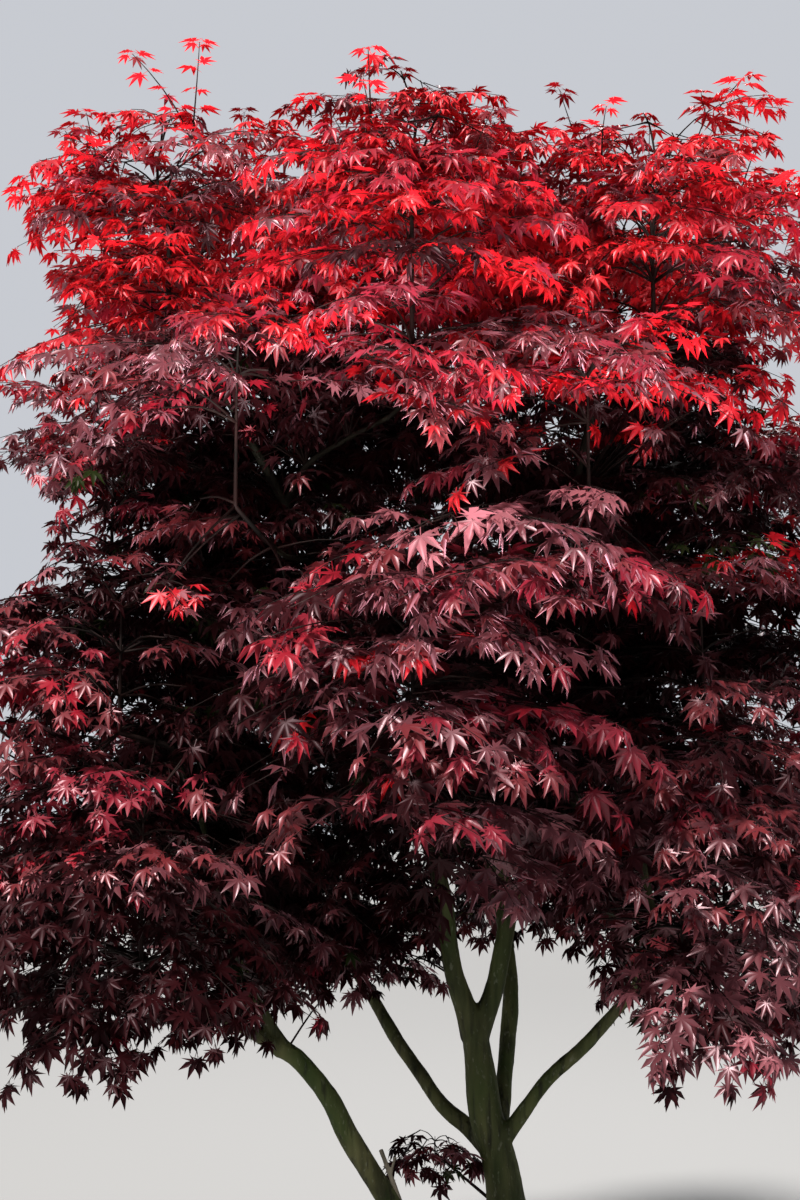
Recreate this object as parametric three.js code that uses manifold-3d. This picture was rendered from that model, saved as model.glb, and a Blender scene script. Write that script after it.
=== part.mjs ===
// A japanese maple in a plain terracotta pot: two stems from one root, boughs that spread
// like a vase, and a broad crown of layered, drooping foliage.
// Millimetres, +Z up. The pot's underside lies on the ground at the origin.
// +X is the right of the photograph and +Y points away from the camera.

import * as THREE from 'three';
import Module from 'manifold-3d';
import { mergeVertices } from 'three/addons/utils/BufferGeometryUtils.js';

const wasm = await Module();
wasm.setup();
const { Manifold, Mesh: SolidMesh } = wasm;

// Driving sizes

const GAP = 0.3;
const POT = {
  height: 440,
  footRadius: 250,
  neckRadius: 312,
  rimRadius: 332,
  rimHeight: 78,
  rimRound: 9,
  wall: 26,
  floor: 32,
  sides: 32,
};
const SOIL_TOP = 415;

const CROWN = {
  centre: new THREE.Vector3(-150, 0, 0),
  rings: [
    { tier: 'top', height: 2750, radius: 640, angles: [30, 90, 150, 210, 270, 330] },
    { tier: 'upper', height: 2300, radius: 730, angles: [0, 60, 120, 180, 240, 300] },
    { tier: 'middle', height: 1840, radius: 740, angles: [30, 90, 150, 210, 270, 330] },
    { tier: 'lower', height: 1350, radius: 750, angles: [0, 60, 120, 180, 221, 319] },
  ],
  topCentre: { tier: 'top', height: 2960, radius: 0, angles: [0] },
  // The back of the crown is higher: at its top by up to this much, in its lowest ring wholly.
  topRise: 110,
  backLift: 130,
};
const MASS = { halfWidth: 445, halfHeight: 370, entryIn: 140, entryDown: 215 };
const LOW_SHOOT = {
  name: 'low_shoot',
  tier: 'shoot',
  centre: new THREE.Vector3(-92, 30, 728),
  foot: new THREE.Vector3(60, 4, 590),
  heading: new THREE.Vector3(-0.8, 0.1, 0.59).normalize(),
  footRadius: 5,
  halfWidth: 125,
  halfHeight: 95,
};

const STEM = { tip: 5, sides: 4, collar: 12, smallest: 0.4 };
const TWIG = { half: 3.4, arch: 0.12 };
const LEAF = {
  length: 320,
  thickness: 11,
  lobes: [
    [0, 1],
    [42, 0.9],
    [86, 0.64],
  ],
  notch: 0.4,
  heel: 0.07,
  droop: 0.16,
  scales: [1, 0.9, 0.8, 0.7, 0.6, 0.5],
  shifts: [0, 0.1, -0.1],
  clear: 1.5,
};
// Tiers of leaves in one mass: heights are shares of its half height, spread of its half width.
const TIERS = [
  { stem: -0.4, lift: -0.48, spread: 0.3, pitch: 34, count: 4, bent: false },
  { stem: -0.2, lift: -0.17, spread: 0.4, pitch: 28, count: 4, bent: true },
  { stem: 0.06, lift: 0.16, spread: 0.36, pitch: 22, count: 4, bent: false },
  { stem: 0.32, lift: 0.5, spread: 0.2, pitch: 14, count: 4, bent: false },
];
// Thin shoots that stand out of the top of the crown.
const SHOOTS = {
  rises: [1.24, 1.02, 1.12, 1.26, 1.38, 1.27, 1.2],
  spread: 0.07,
  lean: 0.12,
  leafLength: 120,
  levels: [0.62, 0.97],
  pitch: 6,
};

// Limbs seen in the photograph: bends in millimetres, radius at the foot and at the tip.
const LIMBS = [
  {
    name: 'trunk',
    bends: [[92, 0, 415.3], [80, 0, 545], [63, 0, 679], [28, 0, 800], [14, 0, 910], [-2, 0, 1015]],
    radii: [48, 31],
    taper: 1.8,
    sides: 14,
    flare: 0.62,
  },
  {
    name: 'left_stem',
    bends: [[-88, -8, 415.3], [-138, -14, 505], [-203, -20, 613], [-294, -40, 760],
      [-343, -60, 858], [-417, -80, 949], [-461, -90, 972]],
    radii: [30, 21],
    taper: 1,
    sides: 10,
    flare: 0.5,
  },
  {
    name: 'leader_left',
    from: 'trunk',
    bends: [[0, 0, 985], [-19, -10, 1049], [-45, -20, 1123], [-62, -35, 1215], [-78, -60, 1330]],
    radii: [25, 9],
    seen: 0.3,
    to: 'top_left_front',
  },
  {
    name: 'leader_right',
    from: 'trunk',
    bends: [[5, 0, 985], [46, 0, 1083], [63, 0, 1158], [78, 0, 1233], [92, 0, 1312]],
    radii: [25, 20],
  },
  {
    name: 'leader_right_outer',
    from: 'leader_right',
    bends: [[92, 0, 1290], [125, -12, 1345], [190, -40, 1440]],
    radii: [17, 8],
    seen: 0.1,
    to: 'top_right_front',
  },
  {
    name: 'leader_right_inner',
    from: 'leader_right',
    bends: [[90, 0, 1290], [72, 8, 1360], [30, 20, 1480]],
    radii: [16, 8],
    seen: 0.1,
    to: 'top_centre',
  },
  {
    name: 'leader_back',
    from: 'trunk',
    bends: [[50, 10, 715], [66, 48, 800], [86, 92, 960], [97, 125, 1080], [85, 165, 1218],
      [60, 200, 1350]],
    radii: [22, 8],
    seen: 0.38,
    to: 'top_back',
  },
  {
    name: 'left_bough',
    from: 'trunk',
    bends: [[40, 8, 715], [-8, 40, 762], [-74, 70, 812], [-126, 100, 881], [-181, 130, 953],
      [-260, 190, 1075]],
    radii: [20, 7.5],
    seen: 0.5,
    to: 'middle_left_back',
  },
  {
    name: 'right_bough',
    from: 'trunk',
    bends: [[45, 0, 715], [104, -20, 799], [171, -40, 892], [251, -60, 967], [324, -80, 1050],
      [373, -110, 1119]],
    radii: [19, 7.5],
    seen: 0.5,
    to: 'middle_right_front',
  },
  {
    name: 'left_stem_outer',
    from: 'left_stem',
    bends: [[-446, -88, 966], [-562, -120, 1035]],
    radii: [16, 7],
    seen: 0.35,
    to: 'lower_left',
  },
  {
    name: 'left_stem_inner',
    from: 'left_stem',
    bends: [[-440, -84, 962], [-499, -90, 1060]],
    radii: [15, 7],
    seen: 0.2,
    to: 'middle_left_front',
  },
];
const LIMB = { sides: 7, stepLength: 105, reachSteps: 4 };
const BOUGH = { share: 0.62, widest: 12, tip: 6, sides: 5, steps: 4, clear: 6, spacing: 75 };
const STUB = {
  bends: [[-152, -16, 530], [-174, -20, 605], [-196, -20, 665], [-220, -20, 727]],
  snag: [[-198, -20, 668], [-186, -26, 712]],
  radii: [7, 5],
  snagRadii: [4, 3],
};

const COLOURS = {
  pot: 0xb4623d,
  soil: 0x3b2a1e,
  bark: 0x4d4a34,
  deadBark: 0x6f6856,
  top: 0xc8131d,
  upper: 0xa3142b,
  middle: 0x7c1630,
  lower: 0x571427,
  shoot: 0x4b1a20,
};

// Small helpers

const UP = new THREE.Vector3(0, 0, 1);

function vector([x, y, z]) {
  return new THREE.Vector3(x, y, z);
}

function radians(degrees) {
  return (degrees * Math.PI) / 180;
}

function blend(start, end, share) {
  return start + (end - start) * share;
}

// A seeded sequence of numbers from 0 to 1.
function seeded(seed) {
  let state = seed >>> 0;
  return () => {
    state = (Math.imul(state, 1664525) + 1013904223) >>> 0;
    return state / 4294967296;
  };
}

// Curves

function smoothPath(bends, stepLength) {
  const path = [];
  for (let i = 0; i < bends.length - 1; i += 1) {
    const [before, after] = [bends[Math.max(i - 1, 0)], bends[Math.min(i + 2, bends.length - 1)]];
    const [start, end] = [bends[i], bends[i + 1]];
    const steps = Math.max(1, Math.round(start.distanceTo(end) / stepLength));
    for (let k = 0; k < steps; k += 1) {
      path.push(throughPoint(before, start, end, after, k / steps));
    }
  }
  path.push(bends[bends.length - 1].clone());
  return path;
}

// The Catmull-Rom curve from start to end.
function throughPoint(before, start, end, after, share) {
  const square = share * share;
  const cube = square * share;
  return new THREE.Vector3()
    .addScaledVector(before, 0.5 * (-cube + 2 * square - share))
    .addScaledVector(start, 0.5 * (3 * cube - 5 * square + 2))
    .addScaledVector(end, 0.5 * (-3 * cube + 4 * square + share))
    .addScaledVector(after, 0.5 * (cube - square));
}

function archPath(start, firstPull, secondPull, end, steps) {
  const path = [];
  for (let k = 0; k <= steps; k += 1) {
    const share = k / steps;
    const rest = 1 - share;
    path.push(new THREE.Vector3()
      .addScaledVector(start, rest * rest * rest)
      .addScaledVector(firstPull, 3 * rest * rest * share)
      .addScaledVector(secondPull, 3 * rest * share * share)
      .addScaledVector(end, share * share * share));
  }
  return path;
}

function lengthsAlong(path) {
  const lengths = [0];
  for (let i = 1; i < path.length; i += 1) {
    lengths.push(lengths[i - 1] + path[i].distanceTo(path[i - 1]));
  }
  return lengths;
}

// Point, direction and radius at a share of a limb's length.
function placeOn(limb, share) {
  const lengths = lengthsAlong(limb.path);
  const wanted = share * lengths[lengths.length - 1];
  let i = 1;
  while (i < lengths.length - 1 && lengths[i] < wanted) {
    i += 1;
  }
  const local = (wanted - lengths[i - 1]) / (lengths[i] - lengths[i - 1]);
  const point = limb.path[i - 1].clone().lerp(limb.path[i], local);
  const direction = limb.path[i].clone().sub(limb.path[i - 1]).normalize();
  return { point, direction, radius: blend(limb.radii[i - 1], limb.radii[i], local) };
}

function segmentGap(a, b, c, d) {
  const [first, second] = [b.clone().sub(a), d.clone().sub(c)];
  const between = a.clone().sub(c);
  const [firstSquare, secondSquare] = [first.dot(first), second.dot(second)];
  const cross = first.dot(second);
  const [firstBack, secondBack] = [first.dot(between), second.dot(between)];
  const spread = firstSquare * secondSquare - cross * cross;
  let s = spread > 1e-6 ? (cross * secondBack - firstBack * secondSquare) / spread : 0;
  s = THREE.MathUtils.clamp(s, 0, 1);
  const t = THREE.MathUtils.clamp((cross * s + secondBack) / secondSquare, 0, 1);
  s = THREE.MathUtils.clamp((cross * t - firstBack) / firstSquare, 0, 1);
  const closest = between.addScaledVector(first, s).addScaledVector(second, -t);
  return closest.length();
}

// Solids

function solidFrom(points, faces) {
  return new Manifold(new SolidMesh({
    numProp: 3,
    vertProperties: new Float32Array(points.flatMap((point) => [point.x, point.y, point.z])),
    triVerts: new Uint32Array(faces.flat()),
  }));
}

// A round, tapering tube. widen(ring, angle) scales the radius, extra thickens it all round
// and stretches it by the same amount at both ends.
function tubeSolid({ path, radii, sides, widen = () => 1, footAlong }, extra = 0) {
  const points = [];
  const faces = [];
  const last = path.length - 1;
  const grow = extra / Math.cos(Math.PI / sides);
  let across = null;
  for (let i = 0; i <= last; i += 1) {
    const along = path[Math.min(i + 1, last)].clone().sub(path[Math.max(i - 1, 0)]).normalize();
    if (footAlong && i === 0) {
      along.copy(footAlong);
    }
    if (across === null) {
      across = Math.abs(along.z) > 0.9 ? new THREE.Vector3(1, 0, 0) : UP.clone();
    }
    across.addScaledVector(along, -across.dot(along)).normalize();
    const other = along.clone().cross(across);
    const end = i === 0 ? -extra : i === last ? extra : 0;
    for (let k = 0; k < sides; k += 1) {
      const angle = (2 * Math.PI * k) / sides;
      const radius = radii[i] * widen(i, angle) + grow;
      points.push(path[i].clone()
        .addScaledVector(along, end)
        .addScaledVector(across, Math.cos(angle) * radius)
        .addScaledVector(other, Math.sin(angle) * radius));
    }
  }
  for (let i = 0; i < last; i += 1) {
    for (let k = 0; k < sides; k += 1) {
      const next = (k + 1) % sides;
      const [a, b] = [i * sides + k, i * sides + next];
      const [c, d] = [a + sides, b + sides];
      faces.push([a, b, d], [a, d, c]);
    }
  }
  for (let k = 1; k < sides - 1; k += 1) {
    faces.push([0, k + 1, k]);
    faces.push([last * sides, last * sides + k, last * sides + k + 1]);
  }
  return solidFrom(points, faces);
}

function largestPiece(solid) {
  const pieces = solid.decompose();
  pieces.sort((one, two) => two.volume() - one.volume());
  return pieces[0];
}

// Takes out the room that other limbs need, with the small gap.
function cutBack(solid, limbs) {
  const rest = limbs.reduce((kept, limb) => kept.subtract(tubeSolid(limb, GAP)), solid);
  return largestPiece(rest);
}

function meshFrom(name, solid, colour, roughness) {
  const { numProp, vertProperties, triVerts } = solid.getMesh();
  const positions = new Float32Array((vertProperties.length / numProp) * 3);
  for (let i = 0; i < positions.length / 3; i += 1) {
    positions.set(vertProperties.subarray(i * numProp, i * numProp + 3), i * 3);
  }
  const geometry = new THREE.BufferGeometry();
  geometry.setAttribute('position', new THREE.BufferAttribute(positions, 3));
  geometry.setIndex(new THREE.BufferAttribute(new Uint32Array(triVerts), 1));
  const material = new THREE.MeshStandardMaterial({ color: colour, roughness, metalness: 0 });
  const mesh = new THREE.Mesh(mergeVertices(geometry), material);
  mesh.name = name;
  return mesh;
}

// Pot and soil

function turned(profile) {
  const outline = profile.map(([radius, height]) => new THREE.Vector2(radius, height));
  const geometry = new THREE.LatheGeometry(outline, POT.sides);
  geometry.rotateX(Math.PI / 2);
  geometry.deleteAttribute('normal');
  geometry.deleteAttribute('uv');
  const merged = mergeVertices(geometry, 0.01);
  const kept = [];
  const index = merged.getIndex().array;
  for (let i = 0; i < index.length; i += 3) {
    const [a, b, c] = index.slice(i, i + 3);
    if (a !== b && b !== c && a !== c) {
      kept.push([a, b, c]);
    }
  }
  const points = [];
  const positions = merged.getAttribute('position');
  for (let i = 0; i < positions.count; i += 1) {
    points.push(new THREE.Vector3().fromBufferAttribute(positions, i));
  }
  return solidFrom(points, kept);
}

function outerRadius(height) {
  return blend(POT.footRadius, POT.neckRadius, height / (POT.height - POT.rimHeight));
}

function potSolid() {
  const { height, rimRadius, rimHeight, rimRound, wall, floor } = POT;
  const underRim = height - rimHeight;
  const inside = outerRadius(underRim) - wall;
  return turned([
    [0, 0],
    [outerRadius(0) - 8, 0],
    [outerRadius(8), 8],
    [outerRadius(underRim - 8), underRim - 8],
    [rimRadius - 4, underRim],
    [rimRadius, height - rimRound],
    [rimRadius - rimRound, height],
    [inside + rimRound, height],
    [inside, height - rimRound],
    [inside, underRim],
    [outerRadius(floor) - wall, floor],
    [0, floor],
  ]);
}

function soilSolid() {
  const { height, rimHeight, wall, floor } = POT;
  const underRim = height - rimHeight;
  const inside = outerRadius(underRim) - wall - 2 * GAP;
  return turned([
    [0, floor + GAP],
    [outerRadius(floor) - wall - 2 * GAP, floor + GAP],
    [inside, underRim],
    [inside, SOIL_TOP],
    [0, SOIL_TOP],
  ]);
}

// Masses of foliage and the room that each keeps to

const SIDES = {
  0: 'right',
  30: 'right_back',
  60: 'back_right',
  90: 'back',
  120: 'back_left',
  150: 'left_back',
  180: 'left',
  210: 'left_front',
  240: 'front_left',
  270: 'front',
  300: 'front_right',
  330: 'right_front',
};

function sideName(angle) {
  return SIDES[(Math.round(angle / 30) * 30) % 360];
}

function ringMasses() {
  const masses = [];
  const rings = [...CROWN.rings, CROWN.topCentre];
  for (const ring of rings) {
    for (const angle of ring.angles) {
      const turn = radians(angle);
      const out = ring.radius > 0
        ? new THREE.Vector3(Math.cos(turn), Math.sin(turn), 0)
        : new THREE.Vector3();
      const isLowBack = ring.tier === 'lower' && out.y > 0.5;
      const centre = CROWN.centre.clone().addScaledVector(out, ring.radius);
      centre.z = ring.height;
      centre.z += ring.tier === 'top' ? CROWN.topRise * out.y : 0;
      centre.z += isLowBack ? CROWN.backLift : 0;
      const entry = centre.clone()
        .addScaledVector(out, -MASS.entryIn)
        .addScaledVector(UP, -MASS.entryDown);
      const side = ring.radius > 0 ? sideName(angle) : 'centre';
      masses.push({
        name: `${ring.tier}_${side}`,
        tier: ring.tier,
        centre,
        out,
        entry,
        halfWidth: MASS.halfWidth,
        halfHeight: MASS.halfHeight,
      });
    }
  }
  return masses;
}

// The room of a mass: its own ellipsoid, cut by flat planes half way to its neighbours.
function giveRoom(masses) {
  for (const mass of masses) {
    mass.planes = [];
    for (const other of masses) {
      const between = other.centre.clone().sub(mass.centre);
      if (other !== mass && between.length() < mass.halfWidth + other.halfWidth) {
        const share = mass.halfWidth / (mass.halfWidth + other.halfWidth);
        const middle = mass.centre.clone().lerp(other.centre, share);
        mass.planes.push({ middle, normal: between.normalize() });
      }
    }
  }
}

function insideRoom(mass, point, isOnShoot) {
  const offset = point.clone().sub(mass.centre);
  const wide = Math.hypot(offset.x, offset.y) / mass.halfWidth;
  const high = offset.z / mass.halfHeight;
  if (!isOnShoot && wide * wide + high * high > 1) {
    return false;
  }
  return mass.planes.every(({ middle, normal }) => point.clone().sub(middle).dot(normal) < -GAP);
}

// Limbs

function mainLimb(settings, limbs, masses) {
  const bends = settings.bends.map(vector);
  const limb = { ...settings, sides: settings.sides ?? LIMB.sides };
  limb.path = smoothPath(bends, LIMB.stepLength);
  if (settings.to) {
    const mass = masses.find(({ name }) => name === settings.to);
    const start = bends[bends.length - 1];
    const direction = start.clone().sub(bends[bends.length - 2]).normalize();
    const reach = start.distanceTo(mass.entry);
    const arrive = mass.entry.clone()
      .addScaledVector(mass.out, -0.16 * reach)
      .addScaledVector(UP, -0.26 * reach);
    const onward = start.clone().addScaledVector(direction, 0.34 * reach);
    limb.path.push(...archPath(start, onward, arrive, mass.entry, LIMB.reachSteps).slice(1));
    mass.bough = limb;
  }
  const lengths = lengthsAlong(limb.path);
  const whole = lengths[lengths.length - 1];
  limb.radii = lengths.map((length) => (
    blend(settings.radii[0], settings.radii[1], (length / whole) ** (settings.taper ?? 1))
  ));
  if (settings.flare) {
    limb.footAlong = UP;
    limb.widen = (ring, angle) => {
      const height = limb.path[ring].z - SOIL_TOP;
      return 1 + settings.flare * Math.exp(-height / 55) * (1 + 0.2 * Math.cos(5 * angle));
    };
  }
  limb.parents = limbs.filter((other) => other.name === settings.from);
  return limb;
}

function limbGap(path, limb) {
  let narrowest = Infinity;
  for (let i = 1; i < path.length; i += 1) {
    for (let k = 1; k < limb.path.length; k += 1) {
      const gap = segmentGap(path[i - 1], path[i], limb.path[k - 1], limb.path[k]);
      narrowest = Math.min(narrowest, gap - limb.radii[k - 1]);
    }
  }
  return narrowest;
}

// The bough of a mass starts on the nearest limb that it can leave at an easy slope,
// and passes clear of every other limb.
function boughFor(mass, limbs) {
  const choices = [];
  for (const parent of limbs) {
    for (let share = Math.max(parent.seen ?? 1, 0.1); share <= 0.86; share += 0.04) {
      const place = placeOn(parent, share);
      const run = mass.entry.clone().sub(place.point);
      const level = Math.hypot(run.x, run.y);
      const steep = Math.max(0, 0.3 * level - run.z) + Math.max(0, run.z - 1.6 * level);
      const crowded = (parent.joints ?? []).some((joint) => (
        joint.distanceTo(place.point) < BOUGH.spacing
      ));
      const thin = Math.max(0, 12 - place.radius) * 25;
      if (!crowded) {
        choices.push({ parent, place, run, cost: run.length() + 1.6 * steep + thin });
      }
    }
  }
  choices.sort((one, two) => one.cost - two.cost);
  for (const { parent, place, run } of choices) {
    const reach = run.length();
    const away = run.clone().normalize();
    const leave = place.direction.clone().add(away).normalize();
    const onward = place.point.clone().addScaledVector(leave, 0.34 * reach);
    const arrive = mass.entry.clone()
      .addScaledVector(mass.out, -0.2 * reach)
      .addScaledVector(UP, -0.12 * reach);
    const path = archPath(place.point, onward, arrive, mass.entry, BOUGH.steps);
    const base = Math.min(BOUGH.widest, place.radius * BOUGH.share);
    const others = limbs.filter((limb) => limb !== parent);
    if (others.every((limb) => limbGap(path, limb) > base + BOUGH.clear)) {
      (parent.joints ??= []).push(place.point);
      return {
        name: `bough_${mass.name}`,
        path,
        radii: path.map((_, i) => blend(base, BOUGH.tip, i / BOUGH.steps)),
        sides: BOUGH.sides,
        seen: 0.3,
        parents: [parent],
      };
    }
  }
  throw new Error(`no clear way to ${mass.name}`);
}

// The dead snag beside the left stem.
function stubSolid(limbs) {
  const tubes = [[STUB.bends, STUB.radii], [STUB.snag, STUB.snagRadii]].map(([bends, radii]) => {
    const path = bends.map(vector);
    const widths = path.map((_, i) => blend(radii[0], radii[1], i / (path.length - 1)));
    return tubeSolid({ path, radii: widths, sides: 6 });
  });
  return cutBack(Manifold.union(tubes), limbs);
}

// Leaves and twigs

function leafOutline({ base, forward, normal, length }) {
  const side = normal.clone().cross(forward);
  const half = [];
  LEAF.lobes.forEach(([angle, reach], i) => {
    half.push([angle, reach]);
    if (i < LEAF.lobes.length - 1) {
      half.push([(angle + LEAF.lobes[i + 1][0]) / 2, LEAF.notch]);
    }
  });
  const mirrored = half.slice(1).reverse().map(([angle, reach]) => [-angle, reach]);
  return [...mirrored, ...half].map(([angle, reach]) => {
    const turn = radians(angle);
    return base.clone()
      .addScaledVector(forward, Math.cos(turn) * reach * length)
      .addScaledVector(side, Math.sin(turn) * reach * length)
      .addScaledVector(normal, -LEAF.droop * reach * reach * length);
  });
}

function leafIsClear(leaf, limbs) {
  const outline = leafOutline(leaf);
  const reach = leaf.length * 1.1;
  return limbs.every((limb) => limb.path.slice(1).every((end, k) => {
    const start = limb.path[k];
    const room = limb.radii[k] + 3;
    if (segmentGap(leaf.base, leaf.base.clone().addScaledVector(leaf.forward, 1), start, end)
      > reach + room) {
      return true;
    }
    return outline.every((point) => segmentGap(leaf.base, point, start, end) > room + 14);
  }));
}

function drooping(direction, pitch, roll) {
  const turn = radians(pitch);
  const [level, fall] = [Math.cos(turn), Math.sin(turn)];
  const forward = direction.clone().multiplyScalar(level).addScaledVector(UP, -fall);
  const normal = direction.clone().multiplyScalar(fall).addScaledVector(UP, level);
  normal.applyAxisAngle(forward, radians(roll));
  return { forward, normal };
}

// Skins: points and faces that stem, twigs and leaves share, so that a mass is one solid

function addRing(skin, centre, side, normal, half) {
  const corners = [[-1, -1], [1, -1], [1, 1], [-1, 1]];
  return corners.map(([across, high]) => skin.points.push(centre.clone()
    .addScaledVector(side, across * half)
    .addScaledVector(normal, high * half)) - 1);
}

function joinRings(skin, lower, upper, open = []) {
  for (let k = 0; k < 4; k += 1) {
    const next = (k + 1) % 4;
    if (!open.includes(k)) {
      skin.faces.push([lower[k], lower[next], upper[next]], [lower[k], upper[next], upper[k]]);
    }
  }
}

// A twig from an open ring, and the leaf at its end.
function addSprig(skin, ring, { path, leaf, fine }) {
  const { base, forward, normal, length } = leaf;
  const side = normal.clone().cross(forward);
  let lower = ring;
  for (const point of [...path, base.clone().addScaledVector(forward, -LEAF.heel * length)]) {
    const upper = addRing(skin, point, side, normal, TWIG.half * fine);
    joinRings(skin, lower, upper);
    lower = upper;
  }
  const [lowMinus, lowPlus, highPlus, highMinus] = lower;
  const middle = base.clone().addScaledVector(forward, 0.05 * length);
  const outline = leafOutline(leaf).map((point) => skin.points.push(point) - 1);
  const [top, under] = [0.5, -0.5].map((share) => (
    skin.points.push(middle.clone().addScaledVector(normal, share * LEAF.thickness * fine)) - 1
  ));
  const [minus, plus] = [outline[0], outline[outline.length - 1]];
  for (let i = 0; i < outline.length - 1; i += 1) {
    skin.faces.push([outline[i], outline[i + 1], top], [outline[i + 1], outline[i], under]);
  }
  skin.faces.push([plus, highPlus, top], [highPlus, highMinus, top], [highMinus, minus, top]);
  skin.faces.push([minus, lowMinus, under], [lowMinus, lowPlus, under], [lowPlus, plus, under]);
  skin.faces.push([highPlus, plus, lowPlus], [highMinus, lowMinus, minus]);
}

// A twig's outer part with its leaf as a closed solid, a little thicker than they are,
// to test what they would touch.
function sprigSolid({ path, leaf, fine }, start) {
  const skin = { points: [], faces: [] };
  const side = leaf.normal.clone().cross(leaf.forward);
  const ring = addRing(skin, start, side, leaf.normal, TWIG.half * fine * LEAF.clear);
  skin.faces.push([ring[0], ring[2], ring[1]], [ring[0], ring[3], ring[2]]);
  const longer = { ...leaf, length: leaf.length * 1.02 };
  addSprig(skin, ring, { path, leaf: longer, fine: fine * LEAF.clear });
  return solidFrom(skin.points, skin.faces);
}

function stemOf(mass, tiers) {
  const { centre, halfHeight, out, fine } = mass;
  const axisPoint = (share) => centre.clone().addScaledVector(UP, share * halfHeight);
  const root = mass.foot.clone().addScaledVector(mass.heading, GAP);
  const points = [root, root.clone().addScaledVector(mass.heading, 40 * fine)];
  const collars = [];
  for (const tier of tiers) {
    const low = axisPoint(tier.stem);
    if (tier.lean) {
      low.addScaledVector(out, tier.lean * (tier.stem - 0.3) * halfHeight);
    }
    collars.push(points.length);
    points.push(low, low.clone().addScaledVector(UP, STEM.collar * fine));
  }
  points.push(points[points.length - 1].clone().addScaledVector(UP, 22 * fine));
  return { points, collars };
}

// The longest leaf that fits its place, tried a little higher and lower, or none.
function fitSprig({ base, start, wanted, tier, frame }, mass, limbs, grown) {
  for (const scale of LEAF.scales) {
    for (const shift of LEAF.shifts) {
      const moved = base.clone().addScaledVector(UP, shift * mass.halfHeight);
      const leaf = { base: moved, ...frame, length: wanted * scale };
      const heel = moved.clone().addScaledVector(leaf.forward, -LEAF.heel * leaf.length);
      const bend = start.clone().lerp(heel, 0.5);
      bend.z += TWIG.arch * start.distanceTo(heel);
      const sprig = { path: tier.bent ? [bend] : [], leaf, fine: mass.fine };
      const solid = sprigSolid(sprig, start.clone().lerp(tier.bent ? bend : heel, 0.35));
      if (
        leafOutline(leaf).every((point) => insideRoom(mass, point, tier.lean))
        && leafIsClear(leaf, limbs)
        && limbs.every((limb) => limbGap([bend, heel], limb) > TWIG.half + 3)
        && grown.every((other) => solid.intersect(other).isEmpty())
      ) {
        return { ...sprig, solid };
      }
    }
  }
  return null;
}

function growMass(mass, index, limbs) {
  const random = seeded(7919 * (index + 1));
  const { centre, halfWidth, halfHeight } = mass;
  const size = halfWidth / MASS.halfWidth;
  const tiers = [...(mass.tiers ?? TIERS), ...(mass.shoot ?? [])];
  const { points, collars } = stemOf(mass, tiers);
  const last = points.length - 1;
  const radii = points.map((_, i) => blend(mass.footRadius, STEM.tip * mass.fine, i / last));
  const stem = { path: points, radii, sides: STEM.sides, footAlong: mass.heading };
  const firstTurn = random() * 90;
  const skin = { points: [], faces: [] };
  const grown = [tubeSolid(stem)];
  let lower = null;
  points.forEach((point, i) => {
    const level = Math.max(0, collars.findIndex((collar) => i <= collar + 1));
    const turn = radians(firstTurn + 45 * level);
    const along = i === 0
      ? mass.heading.clone()
      : points[Math.min(i + 1, last)].clone().sub(points[i - 1]).normalize();
    const side = new THREE.Vector3(Math.cos(turn), Math.sin(turn), 0);
    side.addScaledVector(along, -side.dot(along)).normalize();
    const ring = addRing(skin, point, side, along.clone().cross(side), radii[i] * Math.SQRT1_2);
    if (i === 0) {
      skin.faces.push([ring[0], ring[2], ring[1]], [ring[0], ring[3], ring[2]]);
      lower = ring;
      return;
    }
    const open = [];
    const tier = collars.includes(i - 1) ? tiers[collars.indexOf(i - 1)] : null;
    for (let k = 0; k < 4 && tier !== null; k += 4 / tier.count) {
      // Side k of a collar faces the direction of its own twig.
      const facing = turn + radians(90 * (k - 1) + (random() - 0.5) * 24);
      const spread = halfWidth * tier.spread * (0.85 + 0.3 * random());
      const lift = halfHeight * (tier.lift + 0.16 * (random() - 0.5));
      const pitch = tier.pitch + 16 * (random() - 0.5);
      const roll = 24 * (random() - 0.5);
      const wanted = (tier.leafLength ?? LEAF.length * size) * (0.9 + 0.2 * random());
      const outward = new THREE.Vector3(Math.cos(facing), Math.sin(facing), 0);
      const axis = tier.lean ? point : centre;
      const base = new THREE.Vector3(axis.x, axis.y, centre.z)
        .addScaledVector(outward, spread)
        .addScaledVector(UP, lift);
      const start = points[i - 1].clone().lerp(point, 0.5);
      const frame = drooping(outward, pitch, roll);
      const sprig = fitSprig({ base, start, wanted, tier, frame }, mass, limbs, grown);
      if (sprig !== null) {
        addSprig(skin, [lower[k], lower[(k + 1) % 4], ring[(k + 1) % 4], ring[k]], sprig);
        grown.push(sprig.solid);
        open.push(k);
      }
    }
    joinRings(skin, lower, ring, open);
    lower = ring;
  });
  skin.faces.push([lower[0], lower[1], lower[2]], [lower[0], lower[2], lower[3]]);
  return solidFrom(skin.points, skin.faces);
}

// The whole plant

const masses = ringMasses();
giveRoom(masses);

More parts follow.
